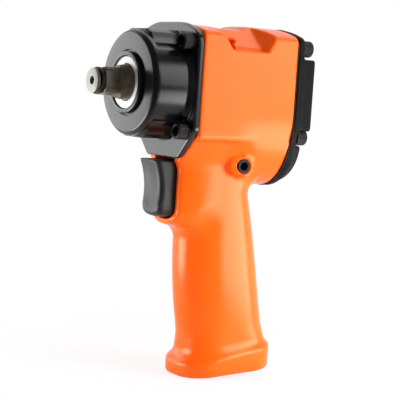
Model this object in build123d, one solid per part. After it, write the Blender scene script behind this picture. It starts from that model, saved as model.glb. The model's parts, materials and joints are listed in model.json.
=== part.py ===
from build123d import *
from math import cos, pi, radians, sin, tan
import os

os.makedirs("parts", exist_ok=True)

# Air impact wrench with a half-inch square drive, in millimetres.
# The frame: +X forward along the drive, +Y to the left, +Z up. The origin is on the air
# inlet's axis, at its mouth in the foot.

# Layout of the head
AXIS_Z = 147.0            # drive axis above the inlet's mouth
FLANGE_X = 39.0           # front face of the hammer case's flange
CASE_LENGTH = 22.6        # flange face to the case's front face
HOUSING_LENGTH = 58.0     # machined front face to machined rear face
GASKET_T = 0.5
GASKET_INSET = 0.8        # front gasket inside the flange's edge

# Clearances
FIT = 0.03                # radial, between pieces that are pressed or screwed together
RUN = 0.06                # radial, running and sliding fits
FREE = 0.3                # between pieces that move past each other
AIR = 0.6                 # round the hammer cage
OVER = 1.0                # cutting tools run past the face that they open by this much

# Outline of the front flange, seen along the drive axis
FLANGE_T = 3.5
FLANGE_STEP = 0.5         # flange wider than the housing's head, each side
FLANGE_DROP = 1.2         # flange's shoulders below the head's
CROWN_Z = 31.8
CROWN_HALF_W = 13.0
CROWN_R = 30.0
SHOULDER_Z = 27.8
SHOULDER_R = 8.0
CHIN_TOP_Z = 21.9
CHIN_TOP_R = 5.0
CHIN_Z = 36.5
CHIN_HALF_W = 13.4
CHIN_R = 2.0

# Corner screws of both ends: M5 socket caps
SCREW_R = 2.5
SCREW_HEAD_R = 4.25
SCREW_HEAD_H = 5.6
SCREW_KEY_R = 2.3
SCREW_KEY_DEPTH = 3.0
SCREW_EDGE = 5.5          # screws' axes inside the head's sides
FRONT_SCREW_Z = 22.0
REAR_SCREW_Z = 23.0
FRONT_SCREW_GRIP = 14.0   # length of thread in the housing
REAR_SCREW_GRIP = 14.0
WASHER_T = 1.0
WASHER_R = 4.6

# Hammer case
CASE_R = 26.5
CASE_ROUND = 2.0          # front edge
CASE_STEP_R = 27.6
CASE_STEP_T = 1.6
CASE_DISC_T = 4.2         # front end that the pads and scallops stop short of
CASE_PAD_Z = 27.3
CASE_KEEL_Z = 27.0        # pad below the shell
CASE_PAD_BEVEL = 1.6
CASE_PAD_HALF_W = 7.5
CASE_PAD_FOOT_Y = 15.5
CASE_PAD_FOOT_Z = 21.0
SCALLOP_R = 5.3
NOSE_WALL = 9.6           # thickness of the case's front wall
CHAMBER_R = 22.4          # bore that the hammer runs in
BOSS_R = 15.5
BOSS_PROUD = 2.0
FACE_GROOVE_W = 0.9
FACE_GROOVE_DEPTH = 1.0

# Anvil
SQUARE = 12.7             # half-inch square drive
SQUARE_ROUND = 1.9
SQUARE_LENGTH = 9.8
SQUARE_TURN = 9.0         # angle that the anvil rests at
SHANK_R = 9.1
SHANK_CONE = 4.2
SHANK_PROUD = 1.6         # shank in front of the case's front face
NOSE_R = 6.1
NOSE_T = 1.6
NOSE_HOLE_R = 1.75
NOSE_HOLE_DEPTH = 7.0
RING_GROOVE_W = 2.9
RING_GROOVE_R = 4.8
ORING_WIRE = 1.1
FRICTION_RING_R = 6.75
FRICTION_RING_GAP = 1.6
COLLAR_R = 12.2
COLLAR_T = 2.2
JAW_CORE_R = 6.5
JAW_R = 9.0
JAW_ANGLE = 70.0
PILOT_R = 4.5
BUSH_WALL = 3.9
BUSH_PROUD = 1.2
THRUST_WASHER_T = 1.0
THRUST_WASHER_WALL = 5.0

# Hammer cage, dog and pins
CAGE_PLATE_T = 3.0
CAGE_HUB_R = 8.0
CAGE_HUB_LENGTH = 7.0
CAGE_WEB_Y = 17.2         # inner faces of the two side webs
PIN_R = 2.5
PIN_PITCH_R = 17.5
DOG_LENGTH = 19.5
DOG_R = 19.2
DOG_HALF_W = 15.0
DOG_BORE_R = 10.6
DOG_LUG_HALF_W = 2.5
DOG_LUG_R = 7.8
DOG_ROCK = 4.0            # degrees each way
DOG_SLOT_DEPTH = 2.9      # from the stop pin's centre towards the axis

# Air motor
MOTOR_END_GAP = 0.2       # rear end plate to the floor of the cover's recess
LINER_R = 22.9
LINER_BORE_R = 18.7
LINER_OFFSET = 1.9        # bore centre above the rotor's axis
ROTOR_R = 16.5
ROTOR_END_GAP = 0.15
SHAFT_R = 5.0
SPLINE_TEETH = 8
SPLINE_DEPTH = 0.9
SPLINE_TIP_SHARE = 0.2    # half a tooth's width at its tip and root, as shares of the pitch
SPLINE_ROOT_SHARE = 0.32
VANE_COUNT = 6
VANE_T = 1.5
VANE_DEPTH = 7.5
VANE_GAP = 0.08
END_PLATE_T = 7.4
END_WALL = 1.3
DOWEL_R = 1.25
DOWEL_EDGE = 2.9          # dowel's axis inside the liner's outside
DOWEL_BITE = 4.0
COVER_DOWEL_BITE = 1.3
PORT_W = 3.0
PORT_COUNT = 3

# Ball bearings
BEARING_R = 11.0
BEARING_W = 6.0
BEARING_RING_T = 2.1
BALL_R = 1.55
BALL_COUNT = 8
RACE_GAP = 0.1

# Rear cover
COVER_T = 4.0
COVER_BLOCK_T = 11.4
COVER_BLOCK_STEP = 1.2    # block narrower than the head, each side
COVER_BLOCK_TOP = 18.2
COVER_BLOCK_BOTTOM = 19.0
COVER_LOBE_T = 10.5
COVER_LOBE_STEP = 1.2     # lobe's root inside the housing's round chin
COVER_LOBE_DRAFT = 2.7    # and its back smaller than its root
COVER_LOBE_Z = 26.0
COVER_LOBE_TOP = 27.5
COVER_RECESS_R = 23.2
COVER_RECESS_DEPTH = 2.0

# Housing head
HEAD_HALF_W = 27.5
HEAD_CROWN_Z = 32.5       # at the rear
HEAD_FLOOR_Z = 26.6
HEAD_FLOOR_R = 3.0
# Saddle along the head's top: distance behind the front face, height of the crown
HEAD_SADDLE = [(0.0, 31.2), (7.0, 31.2), (11.0, 30.3), (21.0, 30.3), (32.0, HEAD_CROWN_Z)]
LOBE_STEP = 2.3           # round chin at the rear, narrower than the head each side
LOBE_Z = 24.7
LOBE_FLAT_HALF_W = 4.0
CHIN_SIDE_STEP = 2.5      # chin narrower than the head, each side
CHIN_SIDE_Z = 22.0
CHIN_BULGE = 1.2
CHIN_LENGTH = 24.0        # chin behind the front face, before it swells to the round rear
LOBE_LENGTH = 21.0        # round chin before the rear face
POCKET_DEPTH = 7.0        # of the pocket in each upper corner, from the head's side
POCKET_FLOOR_Z = 19.4
POCKET_TOP_FRONT = 7.6    # distances behind the housing's front face
POCKET_FLOOR_FRONT = 19.0
POCKET_FLOOR_REAR = 38.0
POCKET_TOP_REAR = 44.0
PORT_HOLE_R = 1.9         # blind hole in each pocket, drilled towards the drive axis
PORT_HOLE_BACK = 21.2     # behind the housing's front face
PORT_HOLE_ANGLE = 51.5    # above level, seen along the drive axis
PORT_HOLE_FLOOR = 3.3     # metal left between it and the motor's bore

# Trigger block under the head, measured from the housing's front face and the foot
BLOCK_TOP_Z = 115.0
BLOCK_FRONT_HALF_W = 12.9
BLOCK_HALF_W = 15.8
BLOCK_TAPER = 18.0
BLOCK_TAPER_R = 10.0
BLOCK_REAR_X = -7.0
BLOCK_CORNER_R = 1.5
BLOCK_DROP = 3.0          # lowest point of the block's underside, below the lip
BLOCK_DROP_BACK = 10.0    # and behind the block's front face
BLOCK_DROP_R = 8.0
BLOCK_RISE = 16.0         # the block's underside climbs to the rear
LIP_Z = 78.8              # upper side of the lip under the trigger
LIP_T = 2.6
LIP_R = 9.5
LIP_REACH = 1.0           # lip's tip in front of the housing's front face

# Grip and foot sections: height, front, rear, half width
GRIP_SECTIONS = [
    (103.0, 25.3, -9.2, 16.2),
    (72.5, 25.6, -17.3, 16.2),
    (41.0, 23.9, -23.7, 16.2),
    (17.0, 19.4, -28.4, 16.2),
]
GRIP_R = 13.0
SOLE_TILT = 6.0           # degrees, the toe lower than the heel
INLET_SUNK = 1.45         # inlet's mouth above the sole
FOOT_FRONT = 23.1
FOOT_REAR = -30.9
FOOT_HALF_W = 17.4
FOOT_R = 14.5
FOOT_TOE_H = 6.9          # height of the foot's rim above the sole
FOOT_HEEL_H = 9.8
FOOT_STEP = 0.4           # ledge between the rim and the flare
FOOT_FLARE = 5.0          # height of the flare between the rim and the grip

# Trigger, rod and tilting throttle valve
TRIGGER_Z = 94.0          # height of the rod
TRIGGER_HALF_W = 9.0
TRIGGER_ROUND = 3.2
TRIGGER_TOP_Z = 109.0
TRIGGER_BOTTOM_Z = 79.2
TRIGGER_TIP_X = 47.8
TRIGGER_TOE_X = 45.6      # front of the finger's rest below the hollow
TRIGGER_TOE_Z = 6.5       # and its height above the trigger's underside
TRIGGER_TOE_R = 5.5       # depth of the toe's round
TRIGGER_WAIST_X = 44.3
TRIGGER_BACK_X = 26.0
TRIGGER_TRAVEL = 6.0
TRIGGER_STOP_GAP = 1.5
TRIGGER_SPRING_R = 4.2
SPRING_WIRE_R = 0.45
TRIGGER_SPRING_TURNS = 4
ROD_R = 2.0
ROD_GROOVE = 0.5
ROD_BITE = 6.0
ROD_GAP = 0.4
ROD_BUSH_R = 4.0
ROD_CLIP_R = 3.2
ROD_CLIP_T = 0.8
STEM_R = 1.8
STEM_TOP = 4.0            # stem above the rod's axis
VALVE_R = 6.6
VALVE_T = 2.2
VALVE_PAD_T = 1.0
SEAT_Z = 56.3
SEAT_T = 3.7
SEAT_BORE_R = 3.6
VALVE_BORE_R = 8.0
VALVE_SPRING_R = 4.6
VALVE_SPRING_TURNS = 6
CHAMBER_FRONT_X = 4.5
CHAMBER_REAR_X = -9.6
CHAMBER_HALF_W = 4.5
CHAMBER_TOP_GAP = 3.0
PASSAGE_X = -4.0
PASSAGE_R = 3.5

# Air inlet in the foot: G 1/4 pipe thread
INLET_THREAD_R = 5.72
INLET_THREAD_LENGTH = 14.0
INLET_BUSH_R = 8.5
INLET_BUSH_H = 22.0
INLET_BORE_R = 4.2
INLET_FLANGE_R = 9.6
INLET_FLANGE_T = 2.4
INLET_SEAL_WIRE = 1.0
SCREEN_T = 0.8
SCREEN_HOLE_R = 0.55
SCREEN_PITCH = 1.7

# Exhaust through the front of the grip
EXHAUST_BACK_X = 10.8
EXHAUST_DEPTH = 4.6
EXHAUST_HALF_W = 9.0
MUFFLER_BACK_X = 12.4     # chamber in the foot, below the way down
MUFFLER_DEPTH = 4.6
MUFFLER_TOP_Z = 10.0
EXHAUST_MERGE_Z = 71.0
SIDE_DUCT_X = 8.4
SIDE_DUCT_DEPTH = 7.6
SIDE_DUCT_Y = 6.8
SIDE_DUCT_W = 4.8
DEFLECTOR_T = 3.0
DEFLECTOR_RIM = 1.5
DEFLECTOR_SLOTS = 4
DEFLECTOR_SLOT_W = 2.2

# Reversing spool, turned from the back
SPOOL_Z = 112.0
SPOOL_R = 7.0
SPOOL_LAND = 5.0          # spool in front of the middle of the way up
SPOOL_WAIST = 9.0
SPOOL_CORE_R = 2.6        # bar left in the middle of the waist
SPOOL_STEM_R = 4.0
SPOOL_SEAL_WIRE = 1.0
SPOOL_SEAL_GROOVE_W = 1.2
REVERSE_PORT_Y = 4.2      # the two ways up to the motor
REVERSE_BUSH_WALL = 2.0
KNOB_R = 8.0
KNOB_T = 4.0
KNOB_BAR_HALF_W = 2.2
KNOB_BAR_H = 3.0
KNOB_GAP = 0.4
KNOB_SCREW_R = 1.5
KNOB_SCREW_HEAD_R = 2.6
KNOB_SCREW_HEAD_H = 1.4
KNOB_SCREW_BITE = 7.0
DETENT_BALL_R = 1.5
DETENT_PITCH_R = 5.6
DETENT_PROUD = 0.5
DETENT_DEPTH = 6.5
DETENT_TURNS = 4
DETENT_WIRE_R = 0.25

# Plug screws in the sides of the head
PLUG_X = 2.2
PLUG_Z = 108.0
PLUG_FACE_Y = 22.2
PLUG_R = 3.75
PLUG_LENGTH = 8.0
PLUG_SUNK = 0.6
PLUG_KEY_R = 1.9
PLUG_KEY_DEPTH = 3.0
PLUG_BOSS_R = 6.2
PLUG_BOSS_STRETCH = 4.5
PLUG_BOSS_DEPTH = 9.0
PLUG_BOSS_STEP = 1.5      # the boss's nose is lower and narrower by this
PLUG_SEAL_T = 1.0

# Planes along the drive axis
case_front_x = FLANGE_X + CASE_LENGTH
flange_back_x = FLANGE_X - FLANGE_T
housing_front_x = flange_back_x - GASKET_T
housing_rear_x = housing_front_x - HOUSING_LENGTH
cover_front_x = housing_rear_x - GASKET_T
cover_flange_x = cover_front_x - COVER_T
cover_block_x = cover_front_x - COVER_BLOCK_T
cover_lobe_x = cover_front_x - COVER_LOBE_T
dowel_pitch_r = LINER_R - DOWEL_EDGE
dowel_back_x = cover_front_x - COVER_RECESS_DEPTH - COVER_DOWEL_BITE

chamber_front_x = case_front_x - NOSE_WALL
washer_back_x = chamber_front_x - THRUST_WASHER_T
collar_front_x = washer_back_x - FREE
collar_back_x = collar_front_x - COLLAR_T
cage_front_x = collar_back_x - FREE
dog_front_x = cage_front_x - CAGE_PLATE_T - FREE
dog_back_x = dog_front_x - DOG_LENGTH
cage_plate_x = dog_back_x - FREE
cage_back_x = cage_plate_x - CAGE_PLATE_T
hub_back_x = cage_back_x - CAGE_HUB_LENGTH
motor_front_x = hub_back_x - 2 * FREE
liner_front_x = motor_front_x - END_PLATE_T
motor_back_x = cover_front_x - COVER_RECESS_DEPTH + MOTOR_END_GAP
liner_back_x = motor_back_x + END_PLATE_T

# Widths that follow the head
flange_half_w = HEAD_HALF_W + FLANGE_STEP
screw_y = HEAD_HALF_W - SCREW_EDGE
cover_block_half_w = HEAD_HALF_W - COVER_BLOCK_STEP
lobe_r = HEAD_HALF_W - LOBE_STEP
cover_lobe_root_r = lobe_r - COVER_LOBE_STEP
cover_lobe_r = cover_lobe_root_r - COVER_LOBE_DRAFT
chin_side_half_w = HEAD_HALF_W - CHIN_SIDE_STEP

motor_bore_r = LINER_R + FIT
nose_bore_r = SHANK_R + RUN + BUSH_WALL + FIT
cage_r = CHAMBER_R - AIR
rotor_front_x = liner_front_x - ROTOR_END_GAP
rotor_back_x = liner_back_x + ROTOR_END_GAP


def cyl_x(r, x0, x1, y=0.0, z=AXIS_Z):
    """A rod along X from x0 to x1."""
    return Pos((x0 + x1) / 2, y, z) * Rot(0, 90, 0) * Cylinder(r, abs(x1 - x0))


def cyl_y(r, y0, y1, x, z):
    """A rod along Y from y0 to y1."""
    return Pos(x, (y0 + y1) / 2, z) * Rot(90, 0, 0) * Cylinder(r, abs(y1 - y0))


def cyl_z(r, z0, z1, x=0.0, y=0.0):
    """A rod along Z from z0 to z1."""
    return Pos(x, y, (z0 + z1) / 2) * Cylinder(r, abs(z1 - z0))


def ring_x(r_out, r_in, x0, x1, y=0.0, z=AXIS_Z):
    """A tube along X."""
    low, high = sorted((x0, x1))
    return cyl_x(r_out, low, high, y, z) - cyl_x(r_in, low - OVER, high + OVER, y, z)


def ring_z(r_out, r_in, z0, z1, x=0.0, y=0.0):
    """A tube along Z."""
    return cyl_z(r_out, z0, z1, x, y) - cyl_z(r_in, z0 - OVER, z1 + OVER, x, y)


def box(x0, x1, y0, y1, z0, z1):
    """A block between two corners."""
    middle = Pos((x0 + x1) / 2, (y0 + y1) / 2, (z0 + z1) / 2)
    return middle * Box(abs(x1 - x0), abs(y1 - y0), abs(z1 - z0))


def both_sides(shape):
    """A piece and its mirror twin on the other side."""
    return shape + mirror(shape, about=Plane.XZ)


def prism_x(curve, x0, x1):
    """A closed curve in (y, z about the drive axis), carried from x0 to x1."""
    across = Plane((x0, 0, AXIS_Z), x_dir=(0, 1, 0), z_dir=(1, 0, 0))
    return extrude(across * make_face(curve), amount=x1 - x0, dir=(1, 0, 0))


def prism_y(curve, half_w):
    """A closed curve in (x, z), as wide as half_w on each side of the middle."""
    side = Plane((0, 0, 0), x_dir=(1, 0, 0), z_dir=(0, -1, 0))
    return extrude(side * make_face(curve), amount=half_w, both=True)


def prism_z(curve, z0, z1):
    """A closed curve in (x, y), carried from z0 to z1."""
    return extrude(Pos(0, 0, z0) * make_face(curve), amount=z1 - z0, dir=(0, 0, 1))


def turned(curve):
    """A closed curve in (x, radius), turned about the drive axis."""
    side = Plane((0, 0, AXIS_Z), x_dir=(1, 0, 0), z_dir=(0, -1, 0))
    return revolve(side * make_face(curve), Axis((0, 0, AXIS_Z), (1, 0, 0)))


def corners(z_half):
    """The four corner screws' places, in (y, z)."""
    return [(y, AXIS_Z + z) for y in (-screw_y, screw_y) for z in (-z_half, z_half)]


def hex_x(r, x0, x1, y=0.0, z=AXIS_Z):
    """A six-sided rod along X, with r across half its flats."""
    place = Plane((x0, y, z), x_dir=(0, 1, 0), z_dir=(1, 0, 0))
    flat = place * RegularPolygon(r, 6, major_radius=False)
    return extrude(flat, amount=x1 - x0, dir=(1, 0, 0))


def coil(radius, wire_r, height, turns):
    """An open helical spring that stands on the XY plane, wire and all."""
    pitch = (height - 2 * wire_r) / turns
    path = Pos(0, 0, wire_r) * Helix(pitch, pitch * turns, radius)
    start = path @ 0
    section = Plane(start, z_dir=path % 0) * Circle(wire_r)
    return sweep(section, path)


def save(node, shape):
    """Write one node's file."""
    export_step(shape, "parts/" + node + ".step")


def flange_outline(grow=0.0):
    """The front flange's outline: crowned top, straight sides and a narrow chin."""
    right = [
        (flange_half_w + grow, -CHIN_TOP_Z),
        (flange_half_w + grow, SHOULDER_Z - FLANGE_DROP + grow),
        (CROWN_HALF_W, CROWN_Z + grow),
    ]
    chin = (CHIN_HALF_W + grow, -CHIN_Z - grow)
    left = [(-y, z) for y, z in reversed([chin] + right)]
    radii = [CHIN_R, CHIN_TOP_R, SHOULDER_R, CROWN_R]
    return FilletPolyline(chin, *right, *left, radius=radii + radii[::-1], close=True)


def head_outline(crown_z):
    """The motor housing's outline above its chin."""
    right = [
        (HEAD_HALF_W, -HEAD_FLOOR_Z),
        (HEAD_HALF_W, SHOULDER_Z),
        (CROWN_HALF_W, crown_z),
    ]
    left = [(-y, z) for y, z in reversed(right)]
    radii = [HEAD_FLOOR_R, SHOULDER_R, CROWN_R]
    return FilletPolyline(*right, *left, radius=radii + radii[::-1], close=True)


def rear_outline(x0, x1, crown_z):
    """A plate with the housing's rear outline: the head and its round chin."""
    head = prism_x(head_outline(crown_z), x0, x1)
    return head + cyl_x(lobe_r, x0, x1, 0, AXIS_Z - LOBE_Z)


def rounded_section(z, front, rear, half_w, corner_r):
    """A level slice of the grip: a rectangle with large corners."""
    return Pos((front + rear) / 2, 0, z) * RectangleRounded(front - rear, 2 * half_w, corner_r)


def chin_curve(side, foot, bulge):
    """Half-round chin: two arcs from its sides to a flat at the bottom."""
    middle = ((side[0] + foot[0]) / 2 + bulge, (side[1] + foot[1]) / 2 - bulge)
    right = ThreePointArc(side, middle, foot)
    bottom = Line(foot, (-foot[0], foot[1]))
    left = ThreePointArc((-foot[0], foot[1]), (-middle[0], middle[1]), (-side[0], side[1]))
    return right + bottom + left + Line((-side[0], side[1]), side)


# Motor housing: one casting of head, chin, trigger block, grip and foot
def housing_chin():
    """The chin, narrow behind the flange and round at the rear."""
    front = chin_curve((chin_side_half_w, -CHIN_SIDE_Z), (CHIN_HALF_W, -CHIN_Z), CHIN_BULGE)
    lobe_foot_z = -LOBE_Z - (lobe_r**2 - LOBE_FLAT_HALF_W**2) ** 0.5
    side, foot = (lobe_r, -LOBE_Z), (LOBE_FLAT_HALF_W, lobe_foot_z)
    half = ((side[0] + foot[0]) / 2, (side[1] + foot[1]) / 2 + LOBE_Z)
    bulge = (lobe_r / (half[0] ** 2 + half[1] ** 2) ** 0.5 - 1) * half[0]
    rear = chin_curve(side, foot, bulge)
    chin_end_x = housing_front_x - CHIN_LENGTH
    lobe_end_x = housing_rear_x + LOBE_LENGTH
    ends = []
    for curve, x in ((front, chin_end_x), (rear, lobe_end_x)):
        place = Plane((x, 0, AXIS_Z), x_dir=(0, 1, 0), z_dir=(1, 0, 0))
        ends.append(place * make_face(curve))
    swell = loft(ends, ruled=True)
    return prism_x(front, chin_end_x, housing_front_x) + swell + prism_x(rear, housing_rear_x, lobe_end_x)


def trigger_block():
    """The block that the trigger slides in, with a rounded lip below the trigger."""
    front = housing_front_x
    tip = front + LIP_REACH
    low = LIP_Z - LIP_T
    deep = low - BLOCK_DROP
    side = FilletPolyline(
        (tip, BLOCK_TOP_Z), (tip, low), (front - BLOCK_DROP_BACK, deep),
        (BLOCK_REAR_X, low + BLOCK_RISE), (BLOCK_REAR_X, BLOCK_TOP_Z),
        radius=[0, BLOCK_CORNER_R, BLOCK_DROP_R, 0, 0], close=True,
    )
    taper_x = front - BLOCK_TAPER
    plans = []
    for end_x, corner_r in ((front, BLOCK_CORNER_R), (tip, LIP_R)):
        right = [(BLOCK_REAR_X, BLOCK_HALF_W), (taper_x, BLOCK_HALF_W), (end_x, BLOCK_FRONT_HALF_W)]
        left = [(x, -y) for x, y in reversed(right)]
        radii = [0, BLOCK_TAPER_R, corner_r]
        plans.append(FilletPolyline(*right, *left, radius=radii + radii[::-1], close=True))
    block = prism_z(plans[0], LIP_Z, BLOCK_TOP_Z) + prism_z(plans[1], deep, LIP_Z)
    return block & prism_y(side, BLOCK_HALF_W + OVER)


def sole_z(x):
    """Height of the tilted sole at x."""
    return -INLET_SUNK - x * tan(radians(SOLE_TILT))


def foot():
    """A rounded foot between the tilted sole and its rim, with a flare up to the grip."""
    toe_z, heel_z = sole_z(FOOT_FRONT) + FOOT_TOE_H, sole_z(FOOT_REAR) + FOOT_HEEL_H
    wedge = prism_y(Polyline((FOOT_FRONT, sole_z(FOOT_FRONT)), (FOOT_FRONT, toe_z), (FOOT_REAR, heel_z),
                             (FOOT_REAR, sole_z(FOOT_REAR)), close=True), FOOT_HALF_W)
    plan = rounded_section(sole_z(FOOT_FRONT), FOOT_FRONT, FOOT_REAR, FOOT_HALF_W, FOOT_R)
    rim = extrude(plan, amount=heel_z - sole_z(FOOT_FRONT)) & wedge
    mid_x = (FOOT_FRONT + FOOT_REAR) / 2
    forward = Vector(FOOT_FRONT - FOOT_REAR, 0, toe_z - heel_z)
    level = Plane((mid_x, 0, (toe_z + heel_z) / 2), x_dir=forward, z_dir=forward.cross(Vector(0, 1, 0)))
    front, rear, half_w = GRIP_SECTIONS[-1][1:]
    ledge = rounded_section(-FOOT_STEP, FOOT_FRONT - mid_x - FOOT_STEP, FOOT_REAR - mid_x + FOOT_STEP,
                            FOOT_HALF_W - FOOT_STEP, FOOT_R - FOOT_STEP)
    ankle = rounded_section(FOOT_FLARE, front - mid_x, rear - mid_x, half_w, GRIP_R)
    return rim + loft([level * ledge, level * ankle], ruled=True)


def grip_and_foot():
    """The raked grip, carried down into the foot."""
    slices = [rounded_section(*s, GRIP_R) for s in GRIP_SECTIONS]
    lowest = GRIP_SECTIONS[-1]
    neck = extrude(slices[-1], amount=-(lowest[0] - FOOT_TOE_H / 2))
    return loft(slices) + neck + foot()


def plug_boss():
    """The raised seat round a side plug, drawn out to the front."""
    y0, y1 = PLUG_FACE_Y - PLUG_BOSS_DEPTH, PLUG_FACE_Y
    nose_x = PLUG_X + PLUG_BOSS_STRETCH
    round_seat = cyl_y(PLUG_BOSS_R, y0, y1, PLUG_X, PLUG_Z)
    nose_r, nose_y = PLUG_BOSS_R - PLUG_BOSS_STEP, y1 - PLUG_BOSS_STEP
    nose = cyl_y(nose_r, y0, nose_y, nose_x, PLUG_Z)
    bridge = box(PLUG_X, nose_x, y0, nose_y, PLUG_Z - nose_r, PLUG_Z + nose_r)
    return round_seat + nose + bridge


def corner_pocket():
    """The pocket cast into the upper left corner, open above and at the side."""
    floor_z = AXIS_Z + POCKET_FLOOR_Z
    rim_z = AXIS_Z + HEAD_CROWN_Z + OVER
    front = housing_front_x
    side = Polyline(
        (front - POCKET_TOP_FRONT, rim_z), (front - POCKET_FLOOR_FRONT, floor_z),
        (front - POCKET_FLOOR_REAR, floor_z), (front - POCKET_TOP_REAR, rim_z), close=True,
    )
    pocket = Pos(0, HEAD_HALF_W, 0) * prism_y(side, POCKET_DEPTH)
    hole = cyl_y(PORT_HOLE_R, LINER_R + PORT_HOLE_FLOOR, LINER_R + HEAD_HALF_W, 0, 0)
    return pocket + Pos(front - PORT_HOLE_BACK, 0, AXIS_Z) * Rot(PORT_HOLE_ANGLE, 0, 0) * hole


valve_chamber_top_z = TRIGGER_Z + STEM_TOP + CHAMBER_TOP_GAP
seat_top_z = SEAT_Z + SEAT_T
pocket_back_x = TRIGGER_BACK_X - TRIGGER_TRAVEL - TRIGGER_STOP_GAP
reverse_bush_r = SPOOL_R + RUN + REVERSE_BUSH_WALL
spool_front_x = PASSAGE_X + SPOOL_LAND
exhaust_front_x = EXHAUST_BACK_X + EXHAUST_DEPTH
muffler_front_x = MUFFLER_BACK_X + MUFFLER_DEPTH
deflector_low_z = sole_z(MUFFLER_BACK_X - DEFLECTOR_RIM) + FREE
deflector_top_z = deflector_low_z + DEFLECTOR_T
plug_floor_y = PLUG_FACE_Y - PLUG_SUNK - PLUG_LENGTH


def housing_hollows():
    """Bores, air ways and screw holes of the housing."""
    hollow = cyl_x(CHAMBER_R, motor_front_x - OVER, housing_front_x + OVER)
    hollow += cyl_x(motor_bore_r, housing_rear_x - OVER, motor_front_x)
    hollow += cyl_x(reverse_bush_r + FIT, housing_rear_x - OVER, spool_front_x + FREE, 0, SPOOL_Z)
    hollow += cyl_z(INLET_FLANGE_R + FREE, sole_z(INLET_FLANGE_R) - OVER, INLET_FLANGE_T)
    hollow += cyl_z(INLET_BUSH_R + FIT, INLET_FLANGE_T - OVER, INLET_BUSH_H)
    hollow += cyl_z(VALVE_BORE_R, INLET_BUSH_H - OVER, seat_top_z)
    hollow += box(CHAMBER_REAR_X, CHAMBER_FRONT_X, -CHAMBER_HALF_W, CHAMBER_HALF_W,
                  seat_top_z - OVER, valve_chamber_top_z)
    hollow += cyl_z(PASSAGE_R, valve_chamber_top_z - OVER, SPOOL_Z - SPOOL_R, PASSAGE_X)
    hollow += cyl_x(ROD_BUSH_R + FIT, CHAMBER_FRONT_X - OVER, pocket_back_x + OVER, 0, TRIGGER_Z)
    hollow += box(pocket_back_x, TRIGGER_TIP_X + OVER, -TRIGGER_HALF_W - FREE,
                  TRIGGER_HALF_W + FREE, TRIGGER_BOTTOM_Z - FREE, TRIGGER_TOP_Z + FREE)
    hollow += box(EXHAUST_BACK_X, exhaust_front_x, -EXHAUST_HALF_W, EXHAUST_HALF_W,
                  MUFFLER_TOP_Z - OVER, EXHAUST_MERGE_Z)
    hollow += box(MUFFLER_BACK_X, muffler_front_x, -EXHAUST_HALF_W, EXHAUST_HALF_W,
                  deflector_low_z, MUFFLER_TOP_Z)
    hollow += box(MUFFLER_BACK_X - DEFLECTOR_RIM, muffler_front_x + DEFLECTOR_RIM,
                  -EXHAUST_HALF_W - DEFLECTOR_RIM, EXHAUST_HALF_W + DEFLECTOR_RIM,
                  sole_z(muffler_front_x) - OVER, deflector_top_z)
    duct = box(SIDE_DUCT_X, SIDE_DUCT_X + SIDE_DUCT_DEPTH, SIDE_DUCT_Y, SIDE_DUCT_Y + SIDE_DUCT_W,
               EXHAUST_MERGE_Z - SIDE_DUCT_DEPTH, AXIS_Z - LINER_R + PORT_W)
    duct += box(liner_front_x - 2 * PORT_W, SIDE_DUCT_X + SIDE_DUCT_DEPTH, SIDE_DUCT_Y,
                SIDE_DUCT_Y + SIDE_DUCT_W, AXIS_Z - LINER_R - 2 * PORT_W, AXIS_Z - LINER_R + PORT_W)
    duct += cyl_y(PLUG_R + FIT, plug_floor_y, PLUG_FACE_Y + OVER, PLUG_X, PLUG_Z)
    hollow += both_sides(duct)
    for y, z in corners(FRONT_SCREW_Z):
        tap_x = housing_front_x - FRONT_SCREW_GRIP - 2 * OVER
        hollow += cyl_x(SCREW_R + FIT, tap_x, housing_front_x + OVER, y, z)
    for y, z in corners(REAR_SCREW_Z):
        hollow += cyl_x(SCREW_R + FIT, housing_rear_x - OVER, housing_rear_x + REAR_SCREW_GRIP + OVER, y, z)
    return hollow


def motor_housing():
    """The whole casting, machined."""
    slices = []
    for back, crown_z in HEAD_SADDLE + [(HOUSING_LENGTH, HEAD_CROWN_Z)]:
        place = Plane((housing_front_x - back, 0, AXIS_Z), x_dir=(0, 1, 0), z_dir=(1, 0, 0))
        slices.append(place * make_face(head_outline(crown_z)))
    body = loft(slices, ruled=True)
    body -= both_sides(corner_pocket())
    body += housing_chin() + trigger_block() + grip_and_foot() + both_sides(plug_boss())
    return body - housing_hollows()


save("motor_housing", motor_housing())


# Hammer case: turned shell, chin flange and lengthwise pads top and bottom
def case_shell():
    """The shell's outside, turned."""
    face = case_front_x
    bend = CASE_ROUND * (1 - cos(pi / 4))
    profile = Polyline(
        (flange_back_x, 0), (face, 0), (face, CASE_R - CASE_ROUND), (face - bend, CASE_R - bend),
        (face - CASE_ROUND, CASE_R), (FLANGE_X + 2 * CASE_STEP_T, CASE_R),
        (FLANGE_X + CASE_STEP_T, CASE_STEP_R), (flange_back_x, CASE_STEP_R), close=True,
    )
    return turned(profile)


def case_pads():
    """The flat-topped pads above and below the shell."""
    end_x = case_front_x - CASE_DISC_T
    pads = []
    for up, pad_z in ((1, CASE_PAD_Z), (-1, CASE_KEEL_Z)):
        slope = ((CASE_PAD_FOOT_Y + CASE_PAD_HALF_W) / 2, pad_z - CASE_PAD_BEVEL)
        right = [(CASE_PAD_FOOT_Y, CASE_PAD_FOOT_Z), slope, (CASE_PAD_HALF_W, pad_z)]
        left = [(-y, z) for y, z in reversed(right)]
        outline = Polyline(*[(y, up * z) for y, z in right + left], close=True)
        pads.append(prism_x(outline, FLANGE_X, end_x))
    return pads[0] + pads[1]


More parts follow.
